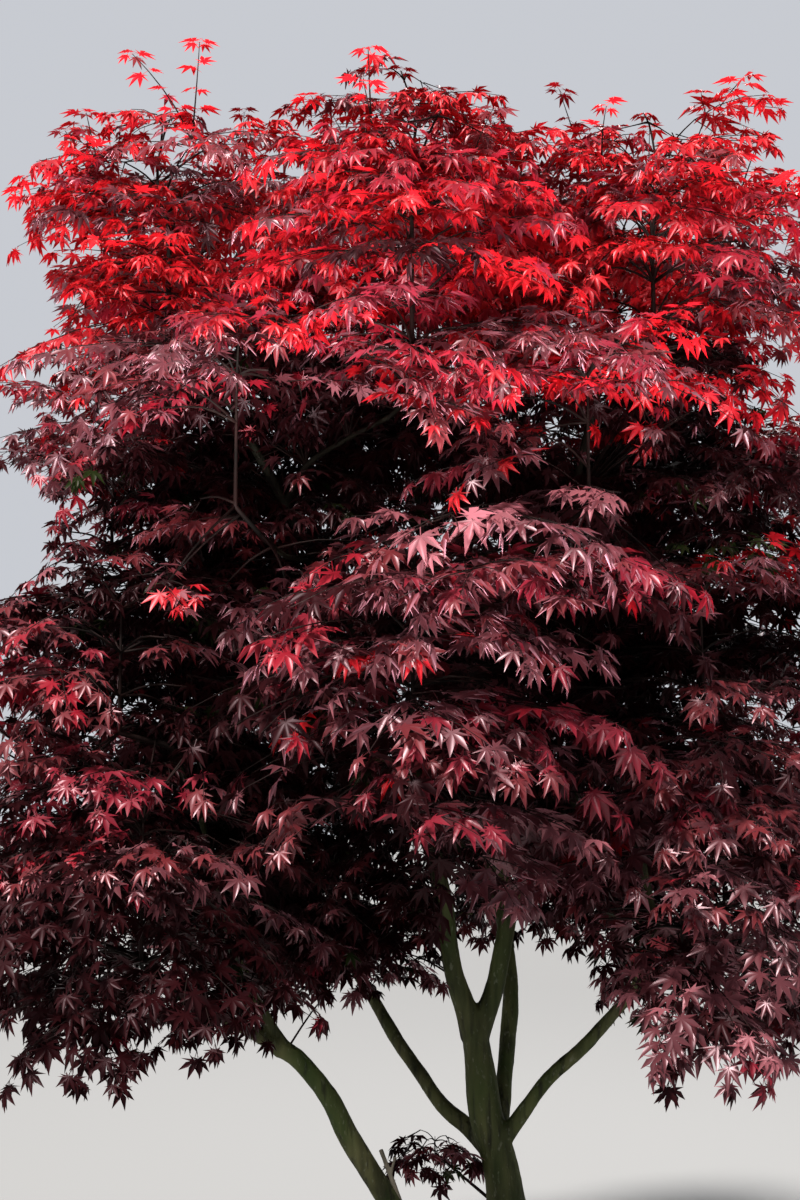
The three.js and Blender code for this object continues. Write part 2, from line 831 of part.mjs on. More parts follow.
const limbs = [];
for (const settings of LIMBS) {
  limbs.push(mainLimb(settings, limbs, masses));
}
for (const mass of masses.filter(({ bough }) => bough === undefined)) {
  mass.bough = boughFor(mass, limbs);
  limbs.push(mass.bough);
}
for (const mass of masses) {
  const { path, radii } = mass.bough;
  mass.foot = path.at(-1);
  mass.heading = path.at(-1).clone().sub(path.at(-2)).normalize();
  mass.footRadius = radii.at(-1);
  mass.fine = 1;
}
const lowShoot = {
  ...LOW_SHOOT,
  out: new THREE.Vector3(),
  planes: [],
  tiers: TIERS.slice(1, 3),
  fine: STEM.smallest,
};
masses.filter(({ tier }) => tier === 'top').forEach((mass, i) => {
  mass.shoot = SHOOTS.levels.map((level) => ({
    stem: SHOOTS.rises[i] * level,
    lift: SHOOTS.rises[i] * level + 0.02,
    spread: SHOOTS.spread,
    count: 2,
    pitch: SHOOTS.pitch,
    lean: SHOOTS.lean,
    leafLength: SHOOTS.leafLength,
  }));
});

const plant = new THREE.Group();
plant.name = 'potted_japanese_maple';
plant.add(meshFrom('pot', potSolid(), COLOURS.pot, 0.85));
plant.add(meshFrom('soil', soilSolid(), COLOURS.soil, 0.95));
limbs.forEach((limb, i) => {
  const solid = cutBack(tubeSolid(limb), limbs.slice(0, i));
  plant.add(meshFrom(limb.name, solid, COLOURS.bark, 0.8));
});
plant.add(meshFrom('dead_stub', stubSolid(limbs), COLOURS.deadBark, 0.9));
masses.forEach((mass, i) => {
  plant.add(meshFrom(`foliage_${mass.name}`, growMass(mass, i, limbs), COLOURS[mass.tier], 0.6));
});
const shootSolid = cutBack(growMass(lowShoot, masses.length, limbs.slice(1)), limbs);
plant.add(meshFrom('foliage_low_shoot', shootSolid, COLOURS.shoot, 0.6));

export default plant;
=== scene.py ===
import math

import bpy
import numpy as np
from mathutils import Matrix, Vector


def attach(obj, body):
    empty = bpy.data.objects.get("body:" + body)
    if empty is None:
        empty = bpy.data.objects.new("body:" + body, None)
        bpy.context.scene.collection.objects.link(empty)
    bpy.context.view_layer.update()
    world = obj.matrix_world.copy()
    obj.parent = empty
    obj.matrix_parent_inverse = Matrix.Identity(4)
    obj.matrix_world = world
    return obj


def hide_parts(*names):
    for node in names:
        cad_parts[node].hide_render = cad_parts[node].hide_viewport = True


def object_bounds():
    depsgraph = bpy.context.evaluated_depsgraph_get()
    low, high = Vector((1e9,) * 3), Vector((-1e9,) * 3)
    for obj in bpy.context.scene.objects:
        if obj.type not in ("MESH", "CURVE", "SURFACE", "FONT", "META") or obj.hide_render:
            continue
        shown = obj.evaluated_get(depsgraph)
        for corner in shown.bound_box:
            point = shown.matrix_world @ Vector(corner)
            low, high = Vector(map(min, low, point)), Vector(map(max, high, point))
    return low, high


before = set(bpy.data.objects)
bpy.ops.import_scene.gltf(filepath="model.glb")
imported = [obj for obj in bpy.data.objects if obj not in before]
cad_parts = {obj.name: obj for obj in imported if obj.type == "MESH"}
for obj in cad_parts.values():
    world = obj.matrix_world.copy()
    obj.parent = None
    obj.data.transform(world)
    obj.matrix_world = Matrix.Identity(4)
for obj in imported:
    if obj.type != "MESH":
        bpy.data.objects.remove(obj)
solid_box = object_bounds()

# A japanese maple in a clay pot. The limbs, and the stems and first sprays of the foliage,
# follow the rule of the solids; fine twigs and single leaves grow from them. Lengths are in
# millimetres and angles in degrees where nothing else is said.

MM = 0.001
UP = np.array([0.0, 0.0, 1.0])
# Room between two masses, and between a mass and the limb that bears it.
GAP = 0.3

CROWN_CENTRE = (-150, 0, 0)
# Eye of the camera, and the plane at the crown's front on which places seen from there are
# measured.
EYE = (-175, -4000, 1600)
FRONT_PLANE = -800
# Rings of masses: tier, height, radius and the angles at which the masses stand.
RINGS = [
    ("top", 2750, 640, (30, 90, 150, 210, 270, 330)),
    ("upper", 2300, 730, (0, 60, 120, 180, 240, 300)),
    ("middle", 1840, 740, (30, 90, 150, 210, 270, 330)),
    ("lower", 1350, 750, (0, 60, 120, 180, 221, 319)),
    ("top", 2960, 0, (0,)),
]
# How far the top ring rises to the back and falls to the front, and how much higher the back
# of the lower ring stands.
TOP_RISE = 110
BACK_LIFT = 130
# Half the width and half the height of a mass, and where its bough enters it.
MASS = dict(wide=445, high=370, entry_in=140, entry_down=215)
SIDE_NAMES = ["right", "right_back", "back_right", "back", "back_left", "left_back", "left",
              "left_front", "front_left", "front", "front_right", "right_front"]
LOW_SHOOT = dict(name="low_shoot", tier="shoot", centre=(-92, 30, 728), foot=(60, 4, 590),
                 heading=(-0.8, 0.1, 0.59), foot_radius=5, wide=125, high=95, fine=0.4)

STEM = dict(tip=5, fine_tip=0.4, collar=12, foot=40, end=22, sides=6)
STEM_STEP = 30
ARCH = 0.12
LEAF_LENGTH = 320
# Angle and reach of the lobes of a spray's outline, on both sides, the reach between them and
# how far the twig reaches in under it.
LOBES = [(0, 1.0), (42, 0.9), (86, 0.64)]
NOTCH = 0.4
HEEL = 0.07
DROOP = 0.16
# The sizes and the shifts, as parts of the mass's height, that a spray tries until it fits.
SCALES = (1, 0.9, 0.8, 0.7, 0.6, 0.5)
SHIFTS = (0, 0.1, -0.1)
# Tiers of a mass, from low to high: where their twigs leave the stem, and the lift, spread,
# pitch and count of their sprays. Stem, lift and spread are parts of the mass's size.
TIERS = [
    dict(stem=-0.4, lift=-0.48, spread=0.3, pitch=34, count=4),
    dict(stem=-0.2, lift=-0.17, spread=0.4, pitch=28, count=4),
    dict(stem=0.06, lift=0.16, spread=0.36, pitch=22, count=4),
    dict(stem=0.32, lift=0.5, spread=0.2, pitch=14, count=4),
]
# How far the dice of the rule turn, spread, lift and tilt a spray.
RULE = dict(turn=24, least_spread=0.85, spread=0.3, lift=0.16, pitch=16, roll=24,
            least_length=0.9, length=0.2)
# How clear of the limbs the leaves and the twig of a spray stay.
CLEAR = dict(leaves=17, twig=6.4)
# How high the shoots rise in the masses of the top, as parts of their height, and the two
# tiers of leaves on a shoot.
SHOOT_RISES = (1.24, 1.02, 1.12, 1.26, 1.38, 1.27, 1.2)
SHOOT = dict(levels=(0.62, 0.97), lift=0.02, lean=0.12, leaf=120, pitch=6, spread=0.07,
             count=2)

# The limbs that show: their bends, the radii at both ends, the mass that they lead to, the
# part of them from which boughs may leave, and how they taper and flare.
LIMBS = [
    dict(name="trunk", bends=[(92, 0, 415.3), (80, 0, 545), (63, 0, 679), (28, 0, 800),
                              (14, 0, 910), (-2, 0, 1015)], radii=(48, 31), taper=1.8, flare=0.62),
    dict(name="left_stem", bends=[(-88, -8, 415.3), (-138, -14, 505), (-203, -20, 613),
                                  (-294, -40, 760), (-343, -60, 858), (-417, -80, 949),
                                  (-461, -90, 972)], radii=(30, 21), flare=0.5),
    dict(name="leader_left", seen=0.3, to="top_left_front", radii=(25, 9),
         bends=[(0, 0, 985), (-19, -10, 1049), (-45, -20, 1123), (-62, -35, 1215),
                (-78, -60, 1330)]),
    dict(name="leader_right", radii=(25, 20),
         bends=[(5, 0, 985), (46, 0, 1083), (63, 0, 1158), (78, 0, 1233), (92, 0, 1312)]),
    dict(name="leader_right_outer", seen=0.1, to="top_right_front",
         radii=(17, 8), bends=[(92, 0, 1290), (125, -12, 1345), (190, -40, 1440)]),
    dict(name="leader_right_inner", seen=0.1, to="top_centre",
         radii=(16, 8), bends=[(90, 0, 1290), (72, 8, 1360), (30, 20, 1480)]),
    dict(name="leader_back", seen=0.38, to="top_back", radii=(22, 8),
         bends=[(50, 10, 715), (66, 48, 800), (86, 92, 960), (97, 125, 1080), (85, 165, 1218),
                (60, 200, 1350)]),
    dict(name="left_bough", seen=0.5, to="middle_left_back", radii=(20, 7.5),
         bends=[(40, 8, 715), (-8, 40, 762), (-74, 70, 812), (-126, 100, 881), (-181, 130, 953),
                (-260, 190, 1075)]),
    dict(name="right_bough", seen=0.5, to="middle_right_front", radii=(19, 7.5),
         bends=[(45, 0, 715), (104, -20, 799), (171, -40, 892), (251, -60, 967),
                (324, -80, 1050), (373, -110, 1119)]),
    dict(name="left_stem_outer", seen=0.35, to="lower_left", radii=(16, 7),
         bends=[(-446, -88, 966), (-562, -120, 1035)]),
    dict(name="left_stem_inner", seen=0.2, to="middle_left_front",
         radii=(15, 7), bends=[(-440, -84, 962), (-499, -90, 1060)]),
]
STEP_LENGTH = 105
# How far a curve follows its limb, then comes in from the crown's middle and from below, as
# parts of its reach, and its steps.
LEADER_PULLS = (0.34, 0.16, 0.26)
BOUGH_PULLS = (0.34, 0.2, 0.12)
REACH_STEPS = 4
# Where boughs may leave a limb, how thick and how clear they are, and what a steep way or a
# thin limb costs, in millimetres of way.
BOUGH = dict(share=0.62, widest=12, tip=6, clear=6, spacing=75, first=0.1, last=0.86,
             search=0.04, least_slope=0.3, most_slope=1.6, slope_cost=1.6, thin_cost=25)
STUB = dict(bends=[(-152, -16, 530), (-174, -20, 605), (-196, -20, 665), (-220, -20, 727)],
            snag=[(-198, -20, 668), (-186, -26, 712)], radii=(7, 5), snag_radii=(4, 3),
            step=12, uneven=0.06, wave=1.9, voxel=0.0016)


# Small helpers

def blend(start, end, share):
    return start + (end - start) * share


def unit(v):
    return v / np.linalg.norm(v)


def vec(values):
    return np.array(values, dtype=float)


def level_way(turn):
    """A level direction, turned by so many radians."""
    return vec((math.cos(turn), math.sin(turn), 0))


def swing(dice, most):
    """A number from -most to most."""
    return dice.uniform(-most, most)


def seeded(seed):
    state = [seed & 0xFFFFFFFF]

    def draw():
        state[0] = (state[0] * 1664525 + 1013904223) & 0xFFFFFFFF
        return state[0] / 4294967296
    return draw


# Curves

def through_point(before, start, end, after, share):
    square = share * share
    cube = square * share
    return (before * 0.5 * (-cube + 2 * square - share) + start * 0.5 * (3 * cube - 5 * square + 2)
            + end * 0.5 * (-3 * cube + 4 * square + share) + after * 0.5 * (cube - square))


def smooth_path(bends, step_length):
    path = []
    for i in range(len(bends) - 1):
        before, after = bends[max(i - 1, 0)], bends[min(i + 2, len(bends) - 1)]
        start, end = bends[i], bends[i + 1]
        steps = max(1, math.floor(np.linalg.norm(end - start) / step_length + 0.5))
        for k in range(steps):
            path.append(through_point(before, start, end, after, k / steps))
    path.append(bends[-1])
    return path


def arch_path(start, first_pull, second_pull, end, steps):
    path = []
    for k in range(steps + 1):
        share = k / steps
        rest = 1 - share
        path.append(start * rest ** 3 + first_pull * 3 * rest * rest * share
                    + second_pull * 3 * rest * share * share + end * share ** 3)
    return path


def lengths_along(path):
    steps = np.linalg.norm(np.diff(np.array(path), axis=0), axis=1)
    return np.concatenate([[0], np.cumsum(steps)])


def place_on(limb, share):
    lengths = lengths_along(limb["path"])
    wanted = share * lengths[-1]
    i = 1
    while i < len(lengths) - 1 and lengths[i] < wanted:
        i += 1
    local = (wanted - lengths[i - 1]) / (lengths[i] - lengths[i - 1])
    start, end = limb["path"][i - 1], limb["path"][i]
    return (blend(start, end, local), unit(end - start),
            blend(limb["radii"][i - 1], limb["radii"][i], local))


def segment_gaps(a, b, starts, ends):
    """Distances from the line a-b to many lines at once."""
    first, second, between = b - a, ends - starts, a - starts
    first_square = max(first @ first, 1e-9)
    second_square = np.maximum((second * second).sum(1), 1e-9)
    cross = second @ first
    first_back, second_back = between @ first, (second * between).sum(1)
    spread = first_square * second_square - cross * cross
    safe = np.where(spread > 1e-6, spread, 1.0)
    s = np.where(spread > 1e-6, (cross * second_back - first_back * second_square) / safe, 0.0)
    s = np.clip(s, 0, 1)
    t = np.clip((cross * s + second_back) / second_square, 0, 1)
    s = np.clip((cross * t - first_back) / first_square, 0, 1)
    return np.linalg.norm(between + s[:, None] * first - t[:, None] * second, axis=1)


def limb_gap(path, starts, ends, widths):
    return min((segment_gaps(a, b, starts, ends) - widths).min() for a, b in zip(path, path[1:]))


def limb_lines(limbs):
    starts, ends, widths = [], [], []
    for limb in limbs:
        starts += limb["path"][:-1]
        ends += limb["path"][1:]
        widths += list(limb["radii"][:-1])
    return np.array(starts), np.array(ends), np.array(widths)


# Masses of foliage and the room that each keeps to

def ring_masses():
    masses = []
    for tier, height, radius, angles in RINGS:
        for angle in angles:
            turn = math.radians(angle)
            out = level_way(turn) if radius else np.zeros(3)
            centre = vec(CROWN_CENTRE) + out * radius
            centre[2] = height
            centre[2] += TOP_RISE * out[1] if tier == "top" else 0
            centre[2] += BACK_LIFT if tier == "lower" and out[1] > 0.5 else 0
            entry = centre - out * MASS["entry_in"] - UP * MASS["entry_down"]
            side = SIDE_NAMES[math.floor(angle / 30 + 0.5) % 12] if radius else "centre"
            masses.append(dict(name=f"{tier}_{side}", tier=tier, centre=centre, out=out,
                               entry=entry, wide=MASS["wide"], high=MASS["high"], fine=1,
                               tiers=TIERS, bough=None))
    for mass in masses:
        mass["planes"] = []
        for other in masses:
            between = other["centre"] - mass["centre"]
            if other is not mass and np.linalg.norm(between) < mass["wide"] + other["wide"]:
                mass["planes"].append((blend(mass["centre"], other["centre"], 0.5),
                                       unit(between)))
    return masses


def inside_room(mass, points, on_shoot=False, spare=0.0):
    offsets = points - mass["centre"]
    wide = np.hypot(offsets[:, 0], offsets[:, 1]) / (mass["wide"] + spare)
    high = offsets[:, 2] / (mass["high"] + spare)
    good = np.full(len(points), True) if on_shoot else wide * wide + high * high <= 1
    for middle, normal in mass["planes"]:
        good &= (points - middle) @ normal < -GAP + spare
    return good


# Limbs

def path_to_mass(start, direction, mass, pulls):
    leave, inwards, upwards = pulls
    reach = np.linalg.norm(mass["entry"] - start)
    arrive = mass["entry"] - mass["out"] * inwards * reach - UP * upwards * reach
    return arch_path(start, start + direction * leave * reach, arrive, mass["entry"],
                     REACH_STEPS)


def main_limb(settings, masses):
    bends = [vec(bend) for bend in settings["bends"]]
    limb = dict(settings, path=smooth_path(bends, STEP_LENGTH), joints=[])
    if "to" in settings:
        mass = next(mass for mass in masses if mass["name"] == settings["to"])
        direction = unit(bends[-1] - bends[-2])
        limb["path"] += path_to_mass(bends[-1], direction, mass, LEADER_PULLS)[1:]
        mass["bough"] = limb
    lengths = lengths_along(limb["path"])
    shares = (lengths / lengths[-1]) ** settings.get("taper", 1)
    limb["radii"] = [blend(*settings["radii"], share) for share in shares]
    return limb


def bough_for(mass, limbs):
    """A bough from the nearest limb that it can leave at an easy slope, clear of the rest."""
    choices = []
    for parent in limbs:
        share = max(parent.get("seen", 1), BOUGH["first"])
        while share <= BOUGH["last"]:
            point, direction, radius = place_on(parent, share)
            run = mass["entry"] - point
            level = math.hypot(run[0], run[1])
            steep = (max(0, BOUGH["least_slope"] * level - run[2])
                     + max(0, run[2] - BOUGH["most_slope"] * level))
            crowded = any(np.linalg.norm(joint - point) < BOUGH["spacing"]
                          for joint in parent["joints"])
            cost = (np.linalg.norm(run) + BOUGH["slope_cost"] * steep
                    + max(0, BOUGH["widest"] - radius) * BOUGH["thin_cost"])
            if not crowded:
                choices.append((cost, parent, point, direction, radius))
            share += BOUGH["search"]
    for _, parent, point, direction, radius in sorted(choices, key=lambda choice: choice[0]):
        leave = unit(direction + unit(mass["entry"] - point))
        path = path_to_mass(point, leave, mass, BOUGH_PULLS)
        base = min(BOUGH["widest"], radius * BOUGH["share"])
        lines = limb_lines([limb for limb in limbs if limb is not parent])
        if limb_gap(path, *lines) > base + BOUGH["clear"]:
            parent["joints"].append(point)
            radii = [blend(base, BOUGH["tip"], i / REACH_STEPS) for i in range(len(path))]
            return dict(name=f"bough_{mass['name']}", path=path, radii=radii, seen=0.3,
                        joints=[])
    raise ValueError(f"no clear way to {mass['name']}")


# The stems of the foliage, the twigs on them and the sprays at the twigs' ends

def spray_outline(base, forward, normal, length):
    side = np.cross(normal, forward)
    points = []
    for i, (angle, reach) in enumerate(LOBES):
        tips = [(angle, reach)]
        if i < len(LOBES) - 1:
            tips.append(((angle + LOBES[i + 1][0]) / 2, NOTCH))
        for at, far in tips:
            for sign in ((1,) if at == 0 else (1, -1)):
                turn = math.radians(at * sign)
                points.append(base + forward * math.cos(turn) * far * length
                              + side * math.sin(turn) * far * length
                              - normal * DROOP * far * far * length)
    return np.array(points)


def turned_about(v, axis, degrees):
    turn = math.radians(degrees)
    return (v * math.cos(turn) + np.cross(axis, v) * math.sin(turn)
            + axis * (axis @ v) * (1 - math.cos(turn)))


def drooping(direction, pitch, roll):
    turn = math.radians(pitch)
    forward = direction * math.cos(turn) - UP * math.sin(turn)
    normal = direction * math.sin(turn) + UP * math.cos(turn)
    return forward, turned_about(normal, forward, roll)


def fit_spray(base, start, wanted, tier, axes, mass, lines):
    """The largest spray near its place that keeps to its room and clear of the limbs."""
    forward, normal = axes
    for scale in SCALES:
        for shift in SHIFTS:
            moved = base + UP * shift * mass["high"]
            length = wanted * scale
            heel = moved - forward * HEEL * length
            bend = blend(start, heel, 0.5) + UP * ARCH * np.linalg.norm(heel - start)
            outline = spray_outline(moved, forward, normal, length)
            if not inside_room(mass, outline, "lean" in tier).all():
                continue
            if (limb_gap([bend, heel], *lines) > CLEAR["twig"]
                    and all(limb_gap([moved, tip], *lines) > CLEAR["leaves"] for tip in outline)):
                return dict(base=moved, forward=forward, normal=normal, length=length,
                            bend=bend)
    return None


def grow_mass(mass, index, lines):
    """The stem of a mass and its sprays, drawn in the same order as the solids."""
    random = seeded(7919 * (index + 1))
    centre, wide, high, fine = mass["centre"], mass["wide"], mass["high"], mass["fine"]
    size = wide / MASS["wide"]
    tiers = mass["tiers"] + mass.get("shoot", [])
    heading = mass["heading"]
    root = mass["foot"] + heading * GAP
    points = [root, root + heading * STEM["foot"] * fine]
    collars = []
    for tier in tiers:
        low = centre + UP * tier["stem"] * high
        if "lean" in tier:
            low = low + mass["out"] * tier["lean"] * (tier["stem"] - 0.3) * high
        collars.append(len(points))
        points += [low, low + UP * STEM["collar"] * fine]
    points.append(points[-1] + UP * STEM["end"] * fine)
    first_turn = random() * 90
    sprays = []
    for level, (tier, collar) in enumerate(zip(tiers, collars)):
        turn = math.radians(first_turn + 45 * level)
        for k in range(0, 4, 4 // tier["count"]):
            facing = turn + math.radians(90 * (k - 1) + (random() - 0.5) * RULE["turn"])
            spread = wide * tier["spread"] * (RULE["least_spread"] + RULE["spread"] * random())
            lift = high * (tier["lift"] + RULE["lift"] * (random() - 0.5))
            pitch = tier["pitch"] + RULE["pitch"] * (random() - 0.5)
            roll = RULE["roll"] * (random() - 0.5)
            wanted = (tier.get("leaf", LEAF_LENGTH * size)
                      * (RULE["least_length"] + RULE["length"] * random()))
            outward = level_way(facing)
            axis = points[collar + 1] if "lean" in tier else centre
            base = vec((axis[0], axis[1], centre[2])) + outward * spread + UP * lift
            start = blend(points[collar], points[collar + 1], 0.5)
            spray = fit_spray(base, start, wanted, tier, drooping(outward, pitch, roll), mass,
                              lines)
            if spray is not None:
                spray.update(start=start, on_shoot="lean" in tier, outward=outward,
                             pitch=pitch, roll=roll)
                sprays.append(spray)
    return points, sprays


# Joined meshes from arrays

def put_in_scene(name, data):
    piece = bpy.data.objects.new(name, data)
    bpy.context.collection.objects.link(piece)
    return piece


class Heap:
    """Points and faces of many small pieces, joined into one mesh."""

    def __init__(self):
        self.points, self.faces, self.slots, self.count = [], [], [], 0

    def add(self, points, faces, slots):
        self.points.append(points)
        self.faces.append(faces + self.count)
        self.slots.append(slots)
        self.count += len(points)

    def make(self, name, materials):
        points = np.concatenate(self.points) * MM
        faces = np.concatenate(self.faces)
        slots = np.concatenate(self.slots)
        mesh = bpy.data.meshes.new(name)
        mesh.vertices.add(len(points))
        mesh.vertices.foreach_set("co", points.astype(np.float32).ravel())
        mesh.loops.add(faces.size)
        mesh.loops.foreach_set("vertex_index", faces.astype(np.int32).ravel())
        mesh.polygons.add(len(faces))
        mesh.polygons.foreach_set("loop_start", np.arange(0, faces.size, 3, dtype=np.int32))
        mesh.polygons.foreach_set("material_index", slots.astype(np.int32))
        mesh.update(calc_edges=True)
        mesh.validate()
        for material in materials:
            mesh.materials.append(material)
        return put_in_scene(name, mesh)


def tube(path, radii, sides):
    """A closed tapering tube of triangles along a path."""
    path = np.array(path)
    count = len(path)
    along = np.gradient(path, axis=0)
    along /= np.linalg.norm(along, axis=1)[:, None]
    across = np.cross(along[0], UP if abs(along[0][2]) < 0.9 else vec((1, 0, 0)))
    angles = np.arange(sides) * 2 * math.pi / sides
    points = []
    for i in range(count):
        across = across - along[i] * (across @ along[i])
        across = across / np.linalg.norm(across)
        other = np.cross(along[i], across)
        points.append(path[i] + np.outer(np.cos(angles) * radii[i], across)
                      + np.outer(np.sin(angles) * radii[i], other))
    points = np.concatenate(points + [path[:1], path[-1:]])
    faces = []
    for i in range(count - 1):
        for k in range(sides):
            a, b = i * sides + k, i * sides + (k + 1) % sides
            faces += [(a, b, b + sides), (a, b + sides, a + sides)]
    foot, tip, last = count * sides, count * sides + 1, (count - 1) * sides
    for k in range(sides):
        faces += [(foot, (k + 1) % sides, k), (tip, last + k, last + (k + 1) % sides)]
    return points, np.array(faces)


# One leaf: seven pointed lobes, the five larger ones with a middle rib, and its stalk

LEAF_LOBES = [(-126, 0.4), (-84, 0.72), (-42, 0.93), (0, 1.0), (42, 0.93), (84, 0.72),
              (126, 0.4)]
LEAF_NOTCH = 0.23
LEAF_HEEL = dict(turn=26, reach=0.13)
LOBE = dict(half=0.156, widest=0.46, fold=0.05, small=0.75, curl_from=0.55)
STALK = dict(length=0.5, half=0.016)


def leaf_shape(droop, curl):
    """Points and faces of one leaf, its middle lobe one unit long. droop bends it all down,
    curl bends the tips of the lobes."""
    points = [(0.0, 0.0, 0.0)]
    faces = []

    def put(angle, far, lift=0.0):
        turn = math.radians(angle)
        drop = droop * far * far + curl * max(0.0, far - LOBE["curl_from"]) ** 2
        points.append((math.cos(turn) * far, math.sin(turn) * far, lift - drop))
        return len(points) - 1

    half = math.degrees(math.atan2(LOBE["half"], LOBE["widest"]))
    last = put(LEAF_LOBES[0][0] - LEAF_HEEL["turn"], LEAF_HEEL["reach"])
    for i, (angle, reach) in enumerate(LEAF_LOBES):
        tip = put(angle, reach)
        if i < len(LEAF_LOBES) - 1:
            following = put((angle + LEAF_LOBES[i + 1][0]) / 2, LEAF_NOTCH * min(1, reach + 0.25))
        else:
            following = put(angle + LEAF_HEEL["turn"], LEAF_HEEL["reach"])
        if reach < LOBE["small"]:
            faces += [(0, last, tip), (0, tip, following)]
        else:
            far = math.hypot(LOBE["half"], LOBE["widest"]) * reach
            right, left = (put(angle + turn, far, LOBE["fold"]) for turn in (-half, half))
            faces += [(0, last, right), (0, right, tip), (0, tip, left), (0, left, following)]
        last = following
    root = len(points)
    points += [(far, half, 0) for far, half in ((-STALK["length"], STALK["half"]),
                                                (-STALK["length"], -STALK["half"]),
                                                (0, STALK["half"]), (0, -STALK["half"]))]
    faces += [(root, root + 1, root + 3), (root, root + 3, root + 2)]
    return np.array(points), np.array(faces)


# From nearly flat to hanging, each with its droop and curl.
LEAF_SHAPES = [leaf_shape(0.06, 0.3), leaf_shape(0.16, 0.6), leaf_shape(0.28, 0.8),
               leaf_shape(0.42, 0.9)]


def place_leaves(heap, leaves):
    """Adds leaves, each (point, forward, normal, size, shape, slot), to the heap."""
    for shape, (points, faces) in enumerate(LEAF_SHAPES):
        chosen = [leaf for leaf in leaves if leaf[4] == shape]
        if not chosen:
            continue
        at, forward, normal, size, _, slot = (np.array(column) for column in zip(*chosen))
        forward /= np.linalg.norm(forward, axis=1)[:, None]
        side = np.cross(normal, forward)
        side /= np.linalg.norm(side, axis=1)[:, None]
        normal = np.cross(forward, side)
        spread = (points[None, :, 0, None] * forward[:, None]
                  + points[None, :, 1, None] * side[:, None]
                  + points[None, :, 2, None] * normal[:, None])
        placed = at[:, None] + spread * size[:, None, None]
        firsts = (np.arange(len(chosen)) * len(points))[:, None, None]
        heap.add(placed.reshape(-1, 3), (faces[None] + firsts).reshape(-1, 3),
                 np.repeat(slot, len(faces)))


def seen_from_front(point):
    """Where a point shows on the front plane, as x and z."""
    depth = (point[1] - EYE[1]) / (FRONT_PLANE - EYE[1])
    return EYE[0] + (point[0] - EYE[0]) / depth, EYE[2] + (point[2] - EYE[2]) / depth


# Places, each with x, z, half width and half height. The dark hollows between the layers of
# the crown and the notches in its outline are on the front plane. The shaded leaves behind the
# forks of the stems and the lit ones at their right stand straight behind their x and z.

HOLLOWS = np.array([(-375, 2250, 225, 108), (220, 2320, 190, 30), (240, 2200, 190, 34),
                    (190, 1908, 110, 28), (-480, 2045, 190, 44), (-230, 1905, 80, 26),
                    (-310, 1615, 52, 46), (320, 1790, 80, 80), (-660, 2205, 120, 44),
                    (-780, 1950, 120, 44), (400, 2090, 150, 40), (-560, 1500, 140, 34),
                    (-270, 1440, 110, 85), (520, 1900, 110, 60),
                    (420, 2290, 80, 34), (-620, 1790, 130, 40), (430, 2430, 90, 26),
                    (-420, 2420, 120, 22), (-480, 1640, 90, 30)], float)
LOW_SHADE = [(-255, 1205, 190, 85), (-560, 1290, 130, 60), (-610, 1120, 130, 50)]
LOW_FRINGE = [(360, 1240, 100, 42), (680, 1120, 120, 45)]
NOTCHES = np.array([(-985, 2085, 120, 125), (-950, 2540, 90, 95)], float)
# No leaf stands in a hollow in front of this.
HOLLOW_DEPTH = -440
# Left, right and top of the places between the stems that stay clear, their bottom, and how
# far back they reach.
WINDOWS = [(-470, -75, 1090), (-75, 150, 1320), (150, 215, 1250), (215, 290, 1170)]
WINDOW_BOTTOM = 820
WINDOW_BACK = 270
# The leaves stay this near to the box of the solids.
BOX_SPARE = 18
LOW_CORNER = np.array(solid_box[0]) / MM - BOX_SPARE
HIGH_CORNER = np.array(solid_box[1]) / MM + BOX_SPARE


def within(seen, table):
    return bool((np.abs((seen[0] - table[:, 0]) / table[:, 2]) ** 3
                 + np.abs((seen[1] - table[:, 1]) / table[:, 3]) ** 3 < 1).any())


def is_open(point):
    """Whether a point lies in a window, a notch or the front of a hollow."""
    x, y, z = point
    if y < WINDOW_BACK and z > WINDOW_BOTTOM:
        if any(left < x < right and z < top for left, right, top in WINDOWS):
            return True
    seen = seen_from_front(point)
    return within(seen, NOTCHES) or (y < HOLLOW_DEPTH and within(seen, HOLLOWS))


def beyond_box(point):
    return (point < LOW_CORNER).any() or (point > HIGH_CORNER).any()


# Colours of the leaves, dealt out by spray

LEAF_COLOURS = {
    "scarlet": (0.57, 0.008, 0.014),
    "bright red": (0.43, 0.007, 0.014),
    "crimson": (0.29, 0.007, 0.018),
    "ruby": (0.21, 0.008, 0.020),
    "burgundy": (0.145, 0.013, 0.016),
    "plum": (0.098, 0.018, 0.023),
    # Painted shade: near-black leaves for where the crown lies in shade.
    "shade-painted wine": (0.021, 0.003, 0.004),
    # Painted highlight: pale rose leaves for where the glossy leaves catch the sky.
    "highlight-painted rose": (0.280, 0.085, 0.102),
    "leaf green": (0.014, 0.024, 0.005),
}
LEAF_NAMES = list(LEAF_COLOURS)
# The colour of the painted shade.
SHADE_PAINTED = LEAF_NAMES.index("shade-painted wine")
# In the order of LEAF_COLOURS.
LEAF_SHEEN = (0.0, 0.0, 0.1, 0.2, 0.4, 0.5, 0.05, 0.05, 0.05)
LEAF_GLOSS = (0.45, 0.5, 0.6, 0.75, 0.9, 1.0, 0.15, 0.3, 0.15)
